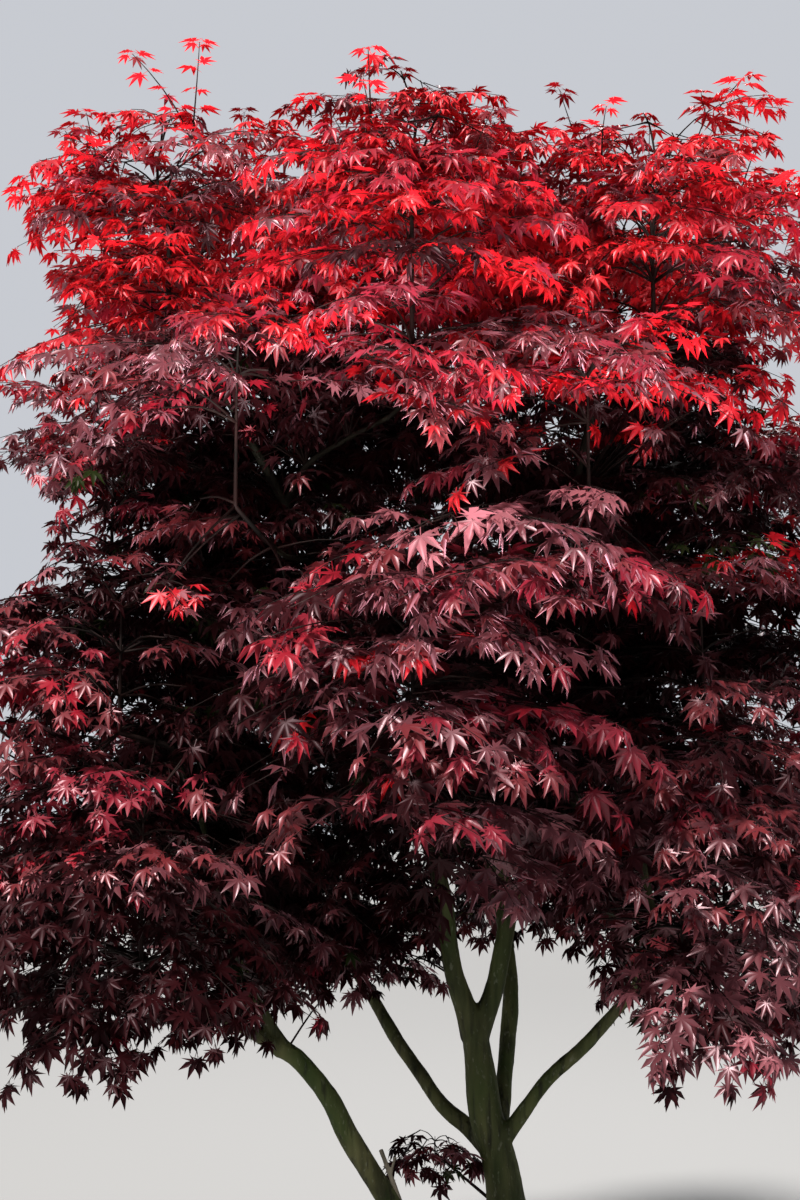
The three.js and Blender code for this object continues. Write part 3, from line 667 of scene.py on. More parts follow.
# Height in metres, and the shares of the colours there, in the order of LEAF_COLOURS.
# The shares also paint light and shade: high up the bright reds stand in part for sun shining
# through the leaves, and low down the near-black leaves are painted shade under the crown.
COLOUR_SHARES = [
    (2.95, (0.43, 0.26, 0.13, 0.05, 0.06, 0.06, 0, 0.01, 0)),
    (2.65, (0.31, 0.25, 0.17, 0.08, 0.09, 0.08, 0, 0.02, 0)),
    (2.48, (0.1, 0.17, 0.19, 0.15, 0.17, 0.14, 0.04, 0.04, 0)),
    (2.32, (0.03, 0.06, 0.12, 0.15, 0.27, 0.24, 0.1, 0.04, 0)),
    (2.0, (0, 0.02, 0.08, 0.15, 0.31, 0.28, 0.13, 0.04, 0)),
    (1.6, (0, 0.01, 0.06, 0.14, 0.32, 0.31, 0.13, 0.04, 0)),
    (1.43, (0, 0, 0.05, 0.12, 0.31, 0.33, 0.15, 0.04, 0)),
    (1.33, (0, 0, 0, 0.01, 0.05, 0.08, 0.81, 0, 0.05)),
    (0.9, (0, 0, 0, 0.01, 0.06, 0.13, 0.76, 0, 0.04)),
    (0.6, (0, 0, 0.01, 0.03, 0.16, 0.26, 0.5, 0.02, 0.02)),
]
# Painted shade: the sprays under others mostly take darker colours.
UNDER_SHARES = (0.01, 0.03, 0.05, 0.07, 0.18, 0.18, 0.48, 0, 0)
# The sprays under others take this part of their colours from UNDER_SHARES, below a height.
UNDER_PART = 0.6
SHADED_BELOW = 2560
# Painted shade: the leaves inside the crown and behind the hollows are mostly near black.
INNER_SHARES = (0, 0, 0, 0.01, 0.05, 0.1, 0.76, 0, 0.08)
SHOOT_SHARES = (0.52, 0.24, 0.12, 0.02, 0.05, 0.05, 0, 0, 0)
# How far from the crown's middle line the leaves are in deep shade, from low to high, and the
# part of them that is dark.
DEEP = dict(heights=(2200, 2500, 2800), radii=(620, 200, 0), share=0.85)
# The part of its length at which a spray is taken to stand, and the part of its fine twigs
# with a colour of their own.
SPRAY_MIDDLE = 0.6
OWN_COLOUR = 0.4
# In metres: the front's depth, how far the heights of the shares are mixed, and how much
# higher the right of the crown counts, above a height or past a width.
FRONT_BACK = 0.4
MIXED_HEIGHT = 0.06
RIGHT = dict(more=0.2, above=1.4, past=0.2)
# Places on the front where the leaves take a colour: x, z, half width, half height, colour, share.
# Many of them paint light and shade: near-black leaves as painted shade, pale rose leaves as
# painted highlights, and brighter reds where the sun falls on or through the leaves.
COLOUR_PLACES = [
    (207, 2381, 150, 38, "scarlet", 0.6),
    (226, 2252, 110, 20, "bright red", 0.5),
    (480, 2420, 130, 70, "bright red", 0.45),
    (250, 2042, 50, 16, "scarlet", 0.4),
    (-117, 2177, 26, 22, "scarlet", 0.6),
    (-138, 2330, 50, 26, "bright red", 0.5),
    (560, 2065, 60, 20, "bright red", 0.5),
    (560, 2330, 90, 80, "bright red", 0.45),
    (-60, 2110, 290, 70, "highlight-painted rose", 0.3),
    (-60, 2110, 290, 70, "plum", 0.6),
    (-615, 2300, 80, 36, "crimson", 0.6),
    (-500, 2150, 150, 32, "ruby", 0.6),
    (-650, 1920, 55, 20, "crimson", 0.5),
    (-423, 1895, 100, 36, "crimson", 0.3),
    (-423, 1895, 115, 44, "ruby", 0.4),
    (-346, 1710, 100, 44, "crimson", 0.25),
    (-346, 1710, 100, 44, "highlight-painted rose", 0.2),
    (-185, 1608, 120, 50, "ruby", 0.5),
    (-920, 1790, 60, 60, "crimson", 0.3),
    (-880, 1650, 140, 90, "shade-painted wine", 0.55),
    (-460, 1650, 110, 80, "shade-painted wine", 0.5),
    (-720, 1530, 240, 80, "ruby", 0.4),
    (-595, 1374, 50, 24, "crimson", 0.4),
    (60, 2000, 280, 60, "ruby", 0.2),
    (-130, 1475, 130, 50, "leaf green", 0.3),
    (-200, 1400, 200, 95, "shade-painted wine", 0.85),
    (210, 1470, 230, 90, "highlight-painted rose", 0.35),
    (160, 1470, 200, 90, "plum", 0.7),
    (-480, 1790, 110, 50, "shade-painted wine", 0.6),
    (-80, 1835, 120, 80, "highlight-painted rose", 0.2),
    (-80, 1835, 120, 80, "plum", 0.7),
    (-220, 1650, 80, 70, "crimson", 0.4),
    (-170, 2440, 200, 80, "highlight-painted rose", 0.18),
    (-170, 2440, 200, 80, "crimson", 0.4),
    (-80, 1650, 100, 80, "shade-painted wine", 0.3),
    (500, 1660, 110, 90, "shade-painted wine", 0.5),
    (-900, 1255, 400, 150, "shade-painted wine", 0.92),
    (470, 2080, 160, 240, "shade-painted wine", 0.5),
    (-530, 2060, 330, 60, "burgundy", 0.5),
    (500, 1440, 170, 130, "highlight-painted rose", 0.2),
    (330, 1270, 150, 110, "highlight-painted rose", 0.35),
    (580, 1230, 380, 160, "plum", 0.75),
    (470, 1490, 170, 240, "plum", 0.6),
    (-660, 2640, 110, 95, "scarlet", 0.45),
    (20, 2640, 270, 85, "scarlet", 0.5),
    (-567, 2790, 220, 60, "plum", 0.4),
    (-620, 2430, 260, 75, "burgundy", 0.4),
    (-580, 2440, 260, 60, "plum", 0.5),
    (-100, 2480, 260, 55, "burgundy", 0.3),
]


def shares_at(height):
    for (high, above), (low, below) in zip(COLOUR_SHARES, COLOUR_SHARES[1:]):
        if height >= low:
            share = min(1, (height - low) / (high - low))
            return np.array(above) * share + np.array(below) * (1 - share)
    return np.array(COLOUR_SHARES[-1][1])


def deal_colour(spray, dice):
    x, y, base_height = spray["base"] * MM
    place = (spray["base"]
             + spray.get("forward", UP) * spray.get("length", 0) * SPRAY_MIDDLE)
    if spray["shade"] == "top" and y < FRONT_BACK:
        seen = seen_from_front(place)
        for cx, cz, wide, high, colour, share in COLOUR_PLACES:
            inside = ((seen[0] - cx) / wide) ** 2 + ((seen[1] - cz) / high) ** 2 < 1
            if inside and dice.random() < share:
                return LEAF_NAMES.index(colour)
    depth = np.interp(place[2], DEEP["heights"], DEEP["radii"])
    deep = math.hypot(place[0] - CROWN_CENTRE[0], place[1]) < depth
    if spray["shade"] == "shoot":
        shares = np.array(SHOOT_SHARES)
    elif spray["shade"] == "inner" or (deep and dice.random() < DEEP["share"]):
        shares = np.array(INNER_SHARES)
    else:
        # The right of the upper crown is redder, and the right of the crown's foot paler.
        height = place[2] * MM
        if base_height > RIGHT["above"] or x > RIGHT["past"]:
            height += RIGHT["more"] * max(0, x)
        shares = shares_at(height + swing(dice, MIXED_HEIGHT))
        if spray["shade"] == "under" and place[2] < SHADED_BELOW:
            shares = (1 - UNDER_PART) * shares + UNDER_PART * np.array(UNDER_SHARES)
    return int(dice.choice(len(LEAF_NAMES), p=shares / shares.sum()))


# What grows in one mass: fine twigs to both sides of the twig of a spray, in one flat layer
# that hangs down at its edge, with leaves in pairs along them, and thin shoots with their
# leaves in crossed pairs

# Angle, length and start of each fine twig, the last two as parts of the spray's length.
FAN = [(0, 0.95, 0), (34, 0.66, 0.24), (-34, 0.64, 0.32), (58, 0.62, 0.06), (-58, 0.6, 0.14),
       (96, 0.48, 0)]
NODE_SPACING = 42
TWIG = dict(turn=12, reach=(0.75, 1.15), bow=0.1, lean=(-0.06, 0.12), hang=0.2,
            least_hang=0.07, shortest=50, shorten=0.88, middle=0.4, long=110, radii=(1.7, 0.7),
            sides=3)
LEAF = dict(size=(31, 50), last=0.8, pair=(52, -52), end=(36, -36, 0), turn=15, shift=0.35,
            ahead=0.05, sag=(-0.25, 0.5), face=0.14, up=0.5, tilt=0.34, edge=0.55, odd=0.3)
STALKS = dict(radii=(3.2, 1.7), sides=4, steps=4)
# How far the leaves at the edge of a spray hang down, below and above HIGH_PART.
EDGE_DROOP = (0.72, 0.34)
HIGH_PART = 2380
# The leaves of these masses, most of them at the front, are larger, and stand as much further
# apart.
LARGE_LEAVES = dict(middle_front=1.28, middle_left_front=1.12, middle_right_front=1.12,
                    lower_left_front=1.12, lower_right_front=1.12, lower_left=1.12,
                    lower_right=1.12)
# The turns of a shoot's leaves are in radians.
SHOOTS = dict(shortest=60, node=42, leaf=(24, 42), lean=0.5, sway=55, sides=4, first=3,
              turn=0.3, last=1.6, rise=0.35, sag=(0.1, 0.8), own=0.7, next=(0.85, 1.25),
              steps=6, radii=(2.2, 0.7), bow=0.5, aside=0.3, forward=0.35, tilt=0.5, out=0.5)


class Growth:
    """The leaves and twigs of one piece of foliage, and the dice that deal them out."""

    def __init__(self, dice):
        self.dice, self.leaves, self.twigs = dice, [], []

    def pick(self, spray):
        """Mostly the colour of the spray, and else another that its place can have."""
        if "colour" not in spray:
            spray["colour"] = deal_colour(spray, self.dice)
        another = self.dice.random() < OWN_COLOUR
        return deal_colour(spray, self.dice) if another else spray["colour"]

    def add_twig(self, spray, fine=1.0):
        """The twig from the stem or limb to the spray."""
        steps = STALKS["steps"]
        path = arch_path(spray["start"], spray["bend"], spray["bend"], spray["base"], steps)
        radii = np.linspace(*STALKS["radii"], steps + 1) * fine
        self.twigs.append((path, radii, STALKS["sides"]))

    def add_spray(self, spray, fan=FAN, spacing=NODE_SPACING):
        dice = self.dice
        forward, normal, length = (spray[key] for key in ("forward", "normal", "length"))
        side = np.cross(normal, forward)
        for angle, reach, start in fan:
            base = spray["base"] + forward * start * length
            turn = math.radians(angle + swing(dice, TWIG["turn"]))
            heading = forward * math.cos(turn) + side * math.sin(turn)
            across = np.cross(normal, heading)
            reach = reach * dice.uniform(*TWIG["reach"]) * length
            bow = swing(dice, TWIG["bow"])
            lean = dice.uniform(*TWIG["lean"])
            hang = TWIG["hang"] * reach / length + TWIG["least_hang"]
            slot = self.pick(spray)

            def at(share):
                run = share * reach
                return (base + heading * run + across * bow * run * share
                        + normal * lean * run - UP * hang * run * share)

            while beyond_box(at(1)) and reach > TWIG["shortest"]:
                reach *= TWIG["shorten"]
            if is_open(at(TWIG["middle"])) or is_open(at(1)):
                continue
            steps = 3 if reach > TWIG["long"] else 2
            path = [at(k / steps) for k in range(steps + 1)]
            self.twigs.append((path, np.linspace(*TWIG["radii"], steps + 1),
                               TWIG["sides"]))
            nodes = max(1, int(reach / spacing / max(1, spray["small"])))
            for k in range(1, nodes + 1):
                share = (k - LEAF["shift"] * dice.random()) / nodes
                direction = unit(at(share + LEAF["ahead"]) - at(share - LEAF["ahead"]))
                for turn_by in LEAF["pair"] if k < nodes else LEAF["end"]:
                    self.add_leaf(spray, at(share), direction, turn_by, share * reach / length,
                                  k == nodes, slot)

    def add(self, spray, fine=1.0, fan=FAN, spacing=NODE_SPACING):
        """A spray on its twig, unless it would start in an open place."""
        if not is_open(spray["base"]):
            self.add_twig(spray, fine)
            self.add_spray(spray, fan, spacing)

    def add_leaf(self, spray, point, direction, turn_by, edge, is_last, slot):
        """A leaf at a node, unless it would stand in an open place or past the box."""
        dice, normal = self.dice, spray["normal"]
        edge_droop = EDGE_DROOP[int(spray["base"][2] > HIGH_PART)]
        to = turned_about(direction, normal, turn_by + swing(dice, LEAF["turn"]))
        sag = edge_droop * edge * edge + dice.uniform(*LEAF["sag"])
        face = unit(to - UP * sag + dice.normal(0, LEAF["face"], 3))
        up = normal + UP * LEAF["up"] + dice.normal(0, LEAF["tilt"], 3)
        size = dice.uniform(*LEAF["size"]) * (LEAF["last"] if is_last else 1) * spray["small"]
        shape = min(3, int(dice.integers(3)) + (edge > LEAF["edge"]))
        joint = point + face * STALK["length"] * size
        if is_open(joint) or beyond_box(joint + face * size):
            return
        colour = self.pick(spray) if dice.random() < LEAF["odd"] else slot
        # Painted shade: leaves seen in a hollow mostly take the near-black colour.
        if within(seen_from_front(joint), HOLLOWS) and dice.random() < DEEP["share"]:
            colour = SHADE_PAINTED
        self.leaves.append((joint, face, up, size, shape, colour))

    def add_shoot(self, path, radii, from_share=0.1):
        """A shoot with leaves in crossed pairs, from a part of its length to its tip."""
        dice = self.dice
        self.twigs.append((path, radii, SHOOTS["sides"]))
        lengths = lengths_along(path)
        path = np.array(path)
        run = lengths[-1] * from_share
        crossed = dice.uniform(0, SHOOTS["first"])
        spray = dict(base=path[-1], shade="shoot")
        slot = self.pick(spray)
        last = False
        while not last:
            last = run + SHOOTS["node"] > lengths[-1]
            run = lengths[-1] if last else run
            point = np.array([np.interp(run, lengths, path[:, axis]) for axis in range(3)])
            crossed += math.pi / 2 + swing(dice, SHOOTS["turn"])
            turns = [crossed, crossed + math.pi]
            if last:
                turns += [crossed + SHOOTS["last"], crossed - SHOOTS["last"]]
            for turn in turns:
                out = level_way(turn) + UP * SHOOTS["rise"]
                face = unit(out - UP * dice.uniform(*SHOOTS["sag"]))
                size = dice.uniform(*SHOOTS["leaf"])
                shape = int(dice.integers(3))
                colour = slot if dice.random() < SHOOTS["own"] else self.pick(spray)
                self.leaves.append((point + face * STALK["length"] * size, face,
                                    UP + out * SHOOTS["tilt"], size, shape, colour))
            run += SHOOTS["node"] * dice.uniform(*SHOOTS["next"])

    def add_shoots(self, sprays, count, longest):
        """Shoots that rise from some of the sprays."""
        dice = self.dice
        for _ in range(count):
            spray = sprays[int(dice.integers(len(sprays)))]
            start = (spray["base"]
                     + spray["forward"] * dice.uniform(0, SHOOTS["out"]) * spray["length"])
            turn = dice.uniform(0, 2 * math.pi)
            lean = level_way(turn) * SHOOTS["lean"] * dice.random()
            heading = unit(UP + lean + spray["forward"] * SHOOTS["forward"])
            length = dice.uniform(SHOOTS["shortest"], longest)
            side = np.cross(heading, lean + vec((0.01, 0.01, 0)))
            bent = lean * SHOOTS["bow"] + side * SHOOTS["aside"]
            path = [start + heading * length * t + bent * length * t * t
                    for t in np.linspace(0, 1, SHOOTS["steps"])]
            self.add_shoot(path, np.linspace(*SHOOTS["radii"], SHOOTS["steps"]))

    def make(self, name, slot, *nodes):
        heap = Heap()
        place_leaves(heap, self.leaves)
        declare(heap.make(f"leaves_{name}", leaf_finishes), slot, *nodes)
        heap = Heap()
        for path, radii, sides in self.twigs:
            points, faces = tube(path, radii, sides)
            heap.add(points, faces, np.zeros(len(faces), int))
        declare(heap.make(f"twigs_{name}", [twig_wood]), "bark", *nodes)


# The sprays of one mass: those of the rule laid flatter, more between them, and a thinner
# shaded spray under some

# The parts of its pitch that a spray keeps, and how far it and those between may differ.
FOLIAGE = dict(flat=0.35, flat_low=0.75, spare=55, under=38, under_length=0.8, under_share=0.35,
               fill_spread=0.9, shortest=150, shorten=0.92, length=(0.75, 1.18), tilt=13,
               roll=0.8, roll_more=8, rise=46, start_drop=(10, 110), fill_turn=12, fill_rise=30,
               fill_out=(0.6, 1.2), arch=12)


def lay_flat(spray, mass, dice):
    """Lays a spray nearly level and gives it the length that its room leaves."""
    share = FOLIAGE["flat_low"] if mass["tier"] == "lower" else FOLIAGE["flat"]
    pitch = spray["pitch"] * share + swing(dice, FOLIAGE["tilt"])
    spray["base"] = spray["base"] + UP * swing(dice, FOLIAGE["rise"])
    roll = spray["roll"] * FOLIAGE["roll"] + swing(dice, FOLIAGE["roll_more"])
    spray["forward"], spray["normal"] = drooping(spray["outward"], pitch, roll)
    length = LEAF_LENGTH * dice.uniform(*FOLIAGE["length"])
    while length > FOLIAGE["shortest"]:
        tip = spray["base"] + spray["forward"] * length
        if inside_room(mass, tip[None], spare=FOLIAGE["spare"])[0]:
            break
        length *= FOLIAGE["shorten"]
    spray["length"] = length


def fill_sprays(mass, sprays, dice):
    """More sprays in the same layers, between those of the rule."""
    filled = []
    centre = mass["centre"]
    for spray in sprays:
        if spray["on_shoot"]:
            continue
        turn = math.radians(45 + swing(dice, FOLIAGE["fill_turn"]))
        x, y = spray["outward"][:2]
        outward = vec((x * math.cos(turn) - y * math.sin(turn),
                       x * math.sin(turn) + y * math.cos(turn), 0))
        spread = math.hypot(*(spray["base"] - centre)[:2]) * FOLIAGE["fill_spread"]
        base = vec((centre[0], centre[1],
                    spray["base"][2] + swing(dice, FOLIAGE["fill_rise"])))
        base = base + outward * spread * dice.uniform(*FOLIAGE["fill_out"])
        bend = blend(spray["start"], base, 0.5) + UP * FOLIAGE["arch"]
        filled.append(dict(spray, outward=outward, base=base, bend=bend))
    return filled


# More layers that close the crown between its rings, and a crest on the top

# Lift and spread as parts of the mass's height and width, pitch, count and length of the
# sprays, and for some the shift of the layer's middle.
LAYERS = {
    "top": [(0.74, 0.36, 2, 6, 260), (0.92, 0.24, -8, 4, 190)],
    "upper": [(-0.8, 0.34, 14, 6, 290)],
    "middle": [(-0.8, 0.34, 16, 6, 290)],
    "lower": [(0.8, 0.3, 8, 6, 290)],
}
# Instead of those of their tier: the full right shoulder, the low left edge, the front's low
# crest with the layers under it, the wide top of the middle, and the curtain in front of the
# forks.
OWN_LAYERS = {
    "top_right_front": LAYERS["top"] + [(0.42, 0.5, 2, 7, 260, 110, 0)],
    "lower_left": LAYERS["lower"] + [(0.98, 0.36, 10, 6, 240, -130, -110)],
    "top_front": [(0.54, 0.36, 2, 6, 250), (-0.36, 0.44, 8, 8, 280), (-0.62, 0.44, 10, 8, 280),
                  (-0.86, 0.34, 12, 6, 280)],
    "top_centre": [(0.1, 0.7, 4, 8, 300), (0.26, 0.3, 0, 5, 230)],
    "middle_front": LAYERS["middle"] + [(-1.02, 0.4, 24, 6, 240), (0.62, 0.36, 8, 7, 270, 130, -60),
                                        (0.36, 0.4, 10, 7, 270, 150, -60)],
}


# How far the dice turn, lift, spread, tilt and lengthen the sprays of a layer.
LAYER = dict(turn=14, lift=40, spread=(0.7, 1.2), pitch=11, roll=16, length=(0.75, 1.15))
ADDED_ARCH = 14


def added_spray(start, base, outward, pitch, roll, **more):
    forward, normal = drooping(outward, pitch, roll)
    return dict(more, start=start, base=base, forward=forward, normal=normal,
                bend=blend(start, base, 0.5) + UP * ADDED_ARCH)


def layer_sprays(mass, points, layer, dice):
    lift, spread, pitch, count, length, *aside = layer
    stem = np.array(smooth_path(points, STEM_STEP))
    first = dice.uniform(0, 360)
    sprays = []
    for k in range(count):
        turn = first + 360 * k / count + swing(dice, LAYER["turn"])
        outward = level_way(math.radians(turn))
        height = lift * mass["high"] + swing(dice, LAYER["lift"])
        middle = mass["centre"] + vec((*(aside or (0, 0)), height))
        base = middle + outward * spread * mass["wide"] * dice.uniform(*LAYER["spread"])
        # The twig leaves the stem a little lower than the spray.
        lower = base - UP * dice.uniform(*FOLIAGE["start_drop"])
        start = stem[np.argmin(np.linalg.norm(stem - lower, axis=1))]
        sprays.append(added_spray(start, base, outward, pitch + swing(dice, LAYER["pitch"]),
                                  swing(dice, LAYER["roll"]), shade="top",
                                  small=LARGE_LEAVES.get(mass["name"], 1),
                                  length=length * dice.uniform(*LAYER["length"])))
    return sprays


# How many more shoots a mass of the top has, and the length of the longest.
MORE_SHOOTS = dict(top_centre=(5, 150), top_front=(7, 190))
USUAL_SHOOTS = (8, 215)
# The part of its height that the shoot of a mass keeps; the back ones keep all of it.
SHOOT_KEPT = dict(top_front=0.45, top_centre=0.75, top_left_front=0.8, top_right_front=0.8)
# Where the main shoot of a mass starts to bend and the length of the bend, as parts of the
# height of the mass, what its way depends on, and its waves.
SWAY = dict(start=0.45, run=0.9, by_x=0.013, by_y=0.007, across=0.3, waves=4)


def sway(mass, point):
    """Bends the shoot at the top of a mass out of the straight line of its stem."""
    start = mass["centre"][2] + SWAY["start"] * mass["high"]
    rise = max(0.0, (point[2] - start) / (SWAY["run"] * mass["high"]))
    out = level_way(mass["centre"][0] * SWAY["by_x"] + mass["centre"][1] * SWAY["by_y"])
    across = vec((-out[1], out[0], 0))
    lower = (SHOOT_KEPT.get(mass["name"], 1) - 1) * max(0.0, point[2] - start)
    bent = out * rise * rise + across * SWAY["across"] * math.sin(SWAY["waves"] * rise)
    return point + bent * SHOOTS["sway"] + UP * lower


# Shaded foliage inside the crown, on short twigs of the limbs, and behind each hollow

# Above and above_behind are the lowest heights. A hollow gets one spray for each so many
# square millimetres of half its width times half its height.
INNER = dict(spacing=62, above=1330, above_behind=1050, behind=-10, reach=(30, 190),
             length=(130, 230), first=0.12, last=0.98, next=(0.7, 1.3), rise=(-10, 60),
             pitch=(-4, 22), roll=14)
BACKING = dict(each=520, depth=(-320, 120), low_depth=(-120, 230), length=(150, 240), spare=60,
               fringe_depth=(-350, 60), rise=(-1.2, 1.5), drop=60, pitch=(0, 24))


def inner_sprays(limbs, dice):
    sprays = []
    for limb in limbs:
        lengths = lengths_along(limb["path"])
        share = max(limb.get("seen", 0.3), INNER["first"])
        while share < INNER["last"]:
            point, _, _ = place_on(limb, share)
            share += INNER["spacing"] * dice.uniform(*INNER["next"]) / lengths[-1]
            lowest = INNER["above_behind"] if point[1] > INNER["behind"] else INNER["above"]
            if point[2] < lowest or limb["name"] in ("trunk", "left_stem"):
                continue
            outward = level_way(dice.uniform(0, 2 * math.pi))
            base = (point + outward * dice.uniform(*INNER["reach"])
                    + UP * dice.uniform(*INNER["rise"]))
            sprays.append(added_spray(point, base, outward, dice.uniform(*INNER["pitch"]),
                                      swing(dice, INNER["roll"]), shade="inner", small=1,
                                      length=dice.uniform(*INNER["length"])))
    return sprays


def backing_sprays(limbs, dice):
    """Sprays behind each hollow and at the low places, on twigs from the nearest limb."""
    starts, _, _ = limb_lines([limb for limb in limbs if limb["path"][-1][2] > INNER["above"]])
    sprays = []
    kinds = ((HOLLOWS, BACKING["depth"], "inner"), (LOW_SHADE, BACKING["low_depth"], "inner"),
             (LOW_FRINGE, BACKING["fringe_depth"], "top"))
    places = [(place, depth, shade) for table, depth, shade in kinds
              for place in table for _ in range(round(place[2] * place[3] / BACKING["each"]))]
    for (x, z, wide, high), depth, shade in places:
        base = vec((x + swing(dice, 1) * wide, dice.uniform(*depth),
                    z + dice.uniform(*BACKING["rise"]) * high))
        if depth is BACKING["depth"]:
            away = (base[1] - EYE[1]) / (FRONT_PLANE - EYE[1])
            base = vec((EYE[0] + (base[0] - EYE[0]) * away, base[1],
                        EYE[2] + (base[2] - EYE[2]) * away))
        base = np.clip(base, LOW_CORNER + BACKING["spare"], HIGH_CORNER - BACKING["spare"])
        lower = base - UP * BACKING["drop"]
        start = starts[np.argmin(np.linalg.norm(starts - lower, axis=1))]
        sprays.append(added_spray(start, base, level_way(dice.uniform(0, 2 * math.pi)),
                                  dice.uniform(*BACKING["pitch"]),
                                  swing(dice, INNER["roll"]), shade=shade, small=1,
                                  length=dice.uniform(*BACKING["length"])))
    return sprays


# Finishes

def new_finish(name, roughness, gloss=None):
    """A material with one shader, of this roughness and gloss."""
    material = bpy.data.materials.new(name)
    material.use_nodes = True
    nodes = material.node_tree.nodes
    nodes.clear()
    out = nodes.new("ShaderNodeOutputMaterial")
    shader = nodes.new("ShaderNodeBsdfPrincipled")
    material.node_tree.links.new(shader.outputs[0], out.inputs[0])
    shader.inputs["Roughness"].default_value = roughness
    if gloss is not None:
        shader.inputs["Specular IOR Level"].default_value = gloss
    return material, shader


def leaf_finish(name, colour, gloss, sheen):
    """A satin leaf with a reddish shine and sheen."""
    material, shader = new_finish(name, 0.4, gloss)
    for socket, value in (("Base Color", (*colour, 1)), ("Specular Tint", (1.0, 0.74, 0.80, 1)),
                          ("Sheen Weight", sheen), ("Sheen Roughness", 0.4),
                          ("Sheen Tint", (0.95, 0.42, 0.52, 1))):
        shader.inputs[socket].default_value = value
    return material


leaf_finishes = [leaf_finish(f"leaf {name}", colour, gloss, sheen)
                 for (name, colour), gloss, sheen in zip(LEAF_COLOURS.items(), LEAF_GLOSS,
                                                         LEAF_SHEEN)]


def set_socket(tree, socket, value):
    """Links a socket to another one, or gives it a colour or a number."""
    if isinstance(value, bpy.types.NodeSocket):
        tree.links.new(value, socket)
    elif isinstance(value, tuple) and len(socket.default_value) == 4:
        socket.default_value = (*value, 1)
    else:
        socket.default_value = value


def grain_group():
    """A noise on the piece's own place, stretched by Stretch, put out as a mask that rises
    from 0 at Low to 1 at High."""
    group = bpy.data.node_groups.new("grain", "ShaderNodeTree")
    for name, kind, value in (("Scale", "NodeSocketFloat", 10.0),
                              ("Detail", "NodeSocketFloat", 4.0),
                              ("Stretch", "NodeSocketVector", (1, 1, 1)),
                              ("Low", "NodeSocketFloat", 0.3), ("High", "NodeSocketFloat", 0.7)):
        socket = group.interface.new_socket(name, in_out="INPUT", socket_type=kind)
        socket.default_value = value
    group.interface.new_socket("Mask", in_out="OUTPUT", socket_type="NodeSocketFloat")
    given, out, place, mapping, pattern, reach = (
        group.nodes.new(kind) for kind in ("NodeGroupInput", "NodeGroupOutput",
                                           "ShaderNodeTexCoord", "ShaderNodeMapping",
                                           "ShaderNodeTexNoise", "ShaderNodeMapRange"))
    for giver, output, taker, socket in (
            (place, "Object", mapping, "Vector"), (given, "Stretch", mapping, "Scale"),
            (mapping, "Vector", pattern, "Vector"), (given, "Scale", pattern, "Scale"),
            (given, "Detail", pattern, "Detail"), (pattern, "Fac", reach, "Value"),
            (given, "Low", reach, "From Min"), (given, "High", reach, "From Max"),
            (reach, "Result", out, "Mask")):
        group.links.new(giver.outputs[output], taker.inputs[socket])
    return group


GRAIN = grain_group()


def grain(tree, scale, low, high, stretch=(1, 1, 1), detail=4):
    node = tree.nodes.new("ShaderNodeGroup")
    node.node_tree = GRAIN
    for name, value in (("Scale", scale), ("Detail", detail), ("Stretch", stretch),
                        ("Low", low), ("High", high)):
        node.inputs[name].default_value = value
    return node.outputs["Mask"]


def mixed(tree, share, one, two, most=1.0):
    """Blends from one to two, by the share and at most by most."""
    node = tree.nodes.new("ShaderNodeMix")
    node.data_type = "RGBA"
    if most < 1.0:
        weaker = tree.nodes.new("ShaderNodeMath")
        weaker.operation = "MULTIPLY"
        set_socket(tree, weaker.inputs[0], share)
        weaker.inputs[1].default_value = most
        share = weaker.outputs[0]
    for socket, value in (("Factor", share), (6, one), (7, two)):
        set_socket(tree, node.inputs[socket], value)
    return node.outputs[2]


def painted(name, paint, roughness, relief=None, gloss=None):
    """A finish whose colour and relief come from paint. relief is its strength and depth."""
    material, shader = new_finish(name, roughness, gloss)
    tree = material.node_tree
    colour, height = paint(tree)
    tree.links.new(colour, shader.inputs["Base Color"])
    if relief:
        node = tree.nodes.new("ShaderNodeBump")
        node.inputs["Strength"].default_value, node.inputs["Distance"].default_value = relief
        tree.links.new(height, node.inputs["Height"])
        tree.links.new(node.outputs["Normal"], shader.inputs["Normal"])
    return material


# Painted shade: the boughs darken towards their thin ends, up in the shade of the crown, between
# these heights in metres.
CROWN_SHADE_HEIGHTS = (1.3, 1.75)


def olive_bark(tree):
    streaks = grain(tree, 26, 0.32, 0.68, (1, 1, 0.16), 5)
    base = mixed(tree, streaks, (0.012, 0.014, 0.004), (0.120, 0.118, 0.048))
    moss = mixed(tree, grain(tree, 5.5, 0.42, 0.62, (1, 1, 0.5)), base, (0.034, 0.064, 0.008), 0.6)
    fissures = grain(tree, 62, 0.54, 0.72, (1, 1, 0.09), 6)
    cracked = mixed(tree, fissures, moss, (0.010, 0.010, 0.005), 0.85)
    flecks = grain(tree, 120, 0.60, 0.74, (1, 1, 0.5), 3)
    flecked = mixed(tree, flecks, cracked, (0.20, 0.21, 0.15), 0.5)
    place, parts = tree.nodes.new("ShaderNodeTexCoord"), tree.nodes.new("ShaderNodeSeparateXYZ")
    # Painted shade: the bark darkens higher up, where the crown shades the boughs.
    young = tree.nodes.new("ShaderNodeMapRange")
    for socket, height in zip(("From Min", "From Max"), CROWN_SHADE_HEIGHTS):
        young.inputs[socket].default_value = height
    tree.links.new(place.outputs["Object"], parts.inputs["Vector"])
    tree.links.new(parts.outputs["Z"], young.inputs["Value"])
    colour = mixed(tree, young.outputs["Result"], flecked, (0.012, 0.008, 0.006), 0.9)
    return colour, mixed(tree, fissures, streaks, (0, 0, 0))


def young_twig(tree):
    patches = grain(tree, 9, 0.35, 0.65)
    return mixed(tree, patches, (0.006, 0.004, 0.003), (0.020, 0.006, 0.005)), None


def dead_wood(tree):
    cracks = grain(tree, 45, 0.3, 0.7, (1, 1, 0.12))
    return mixed(tree, cracks, (0.10, 0.085, 0.06), (0.32, 0.28, 0.21)), cracks


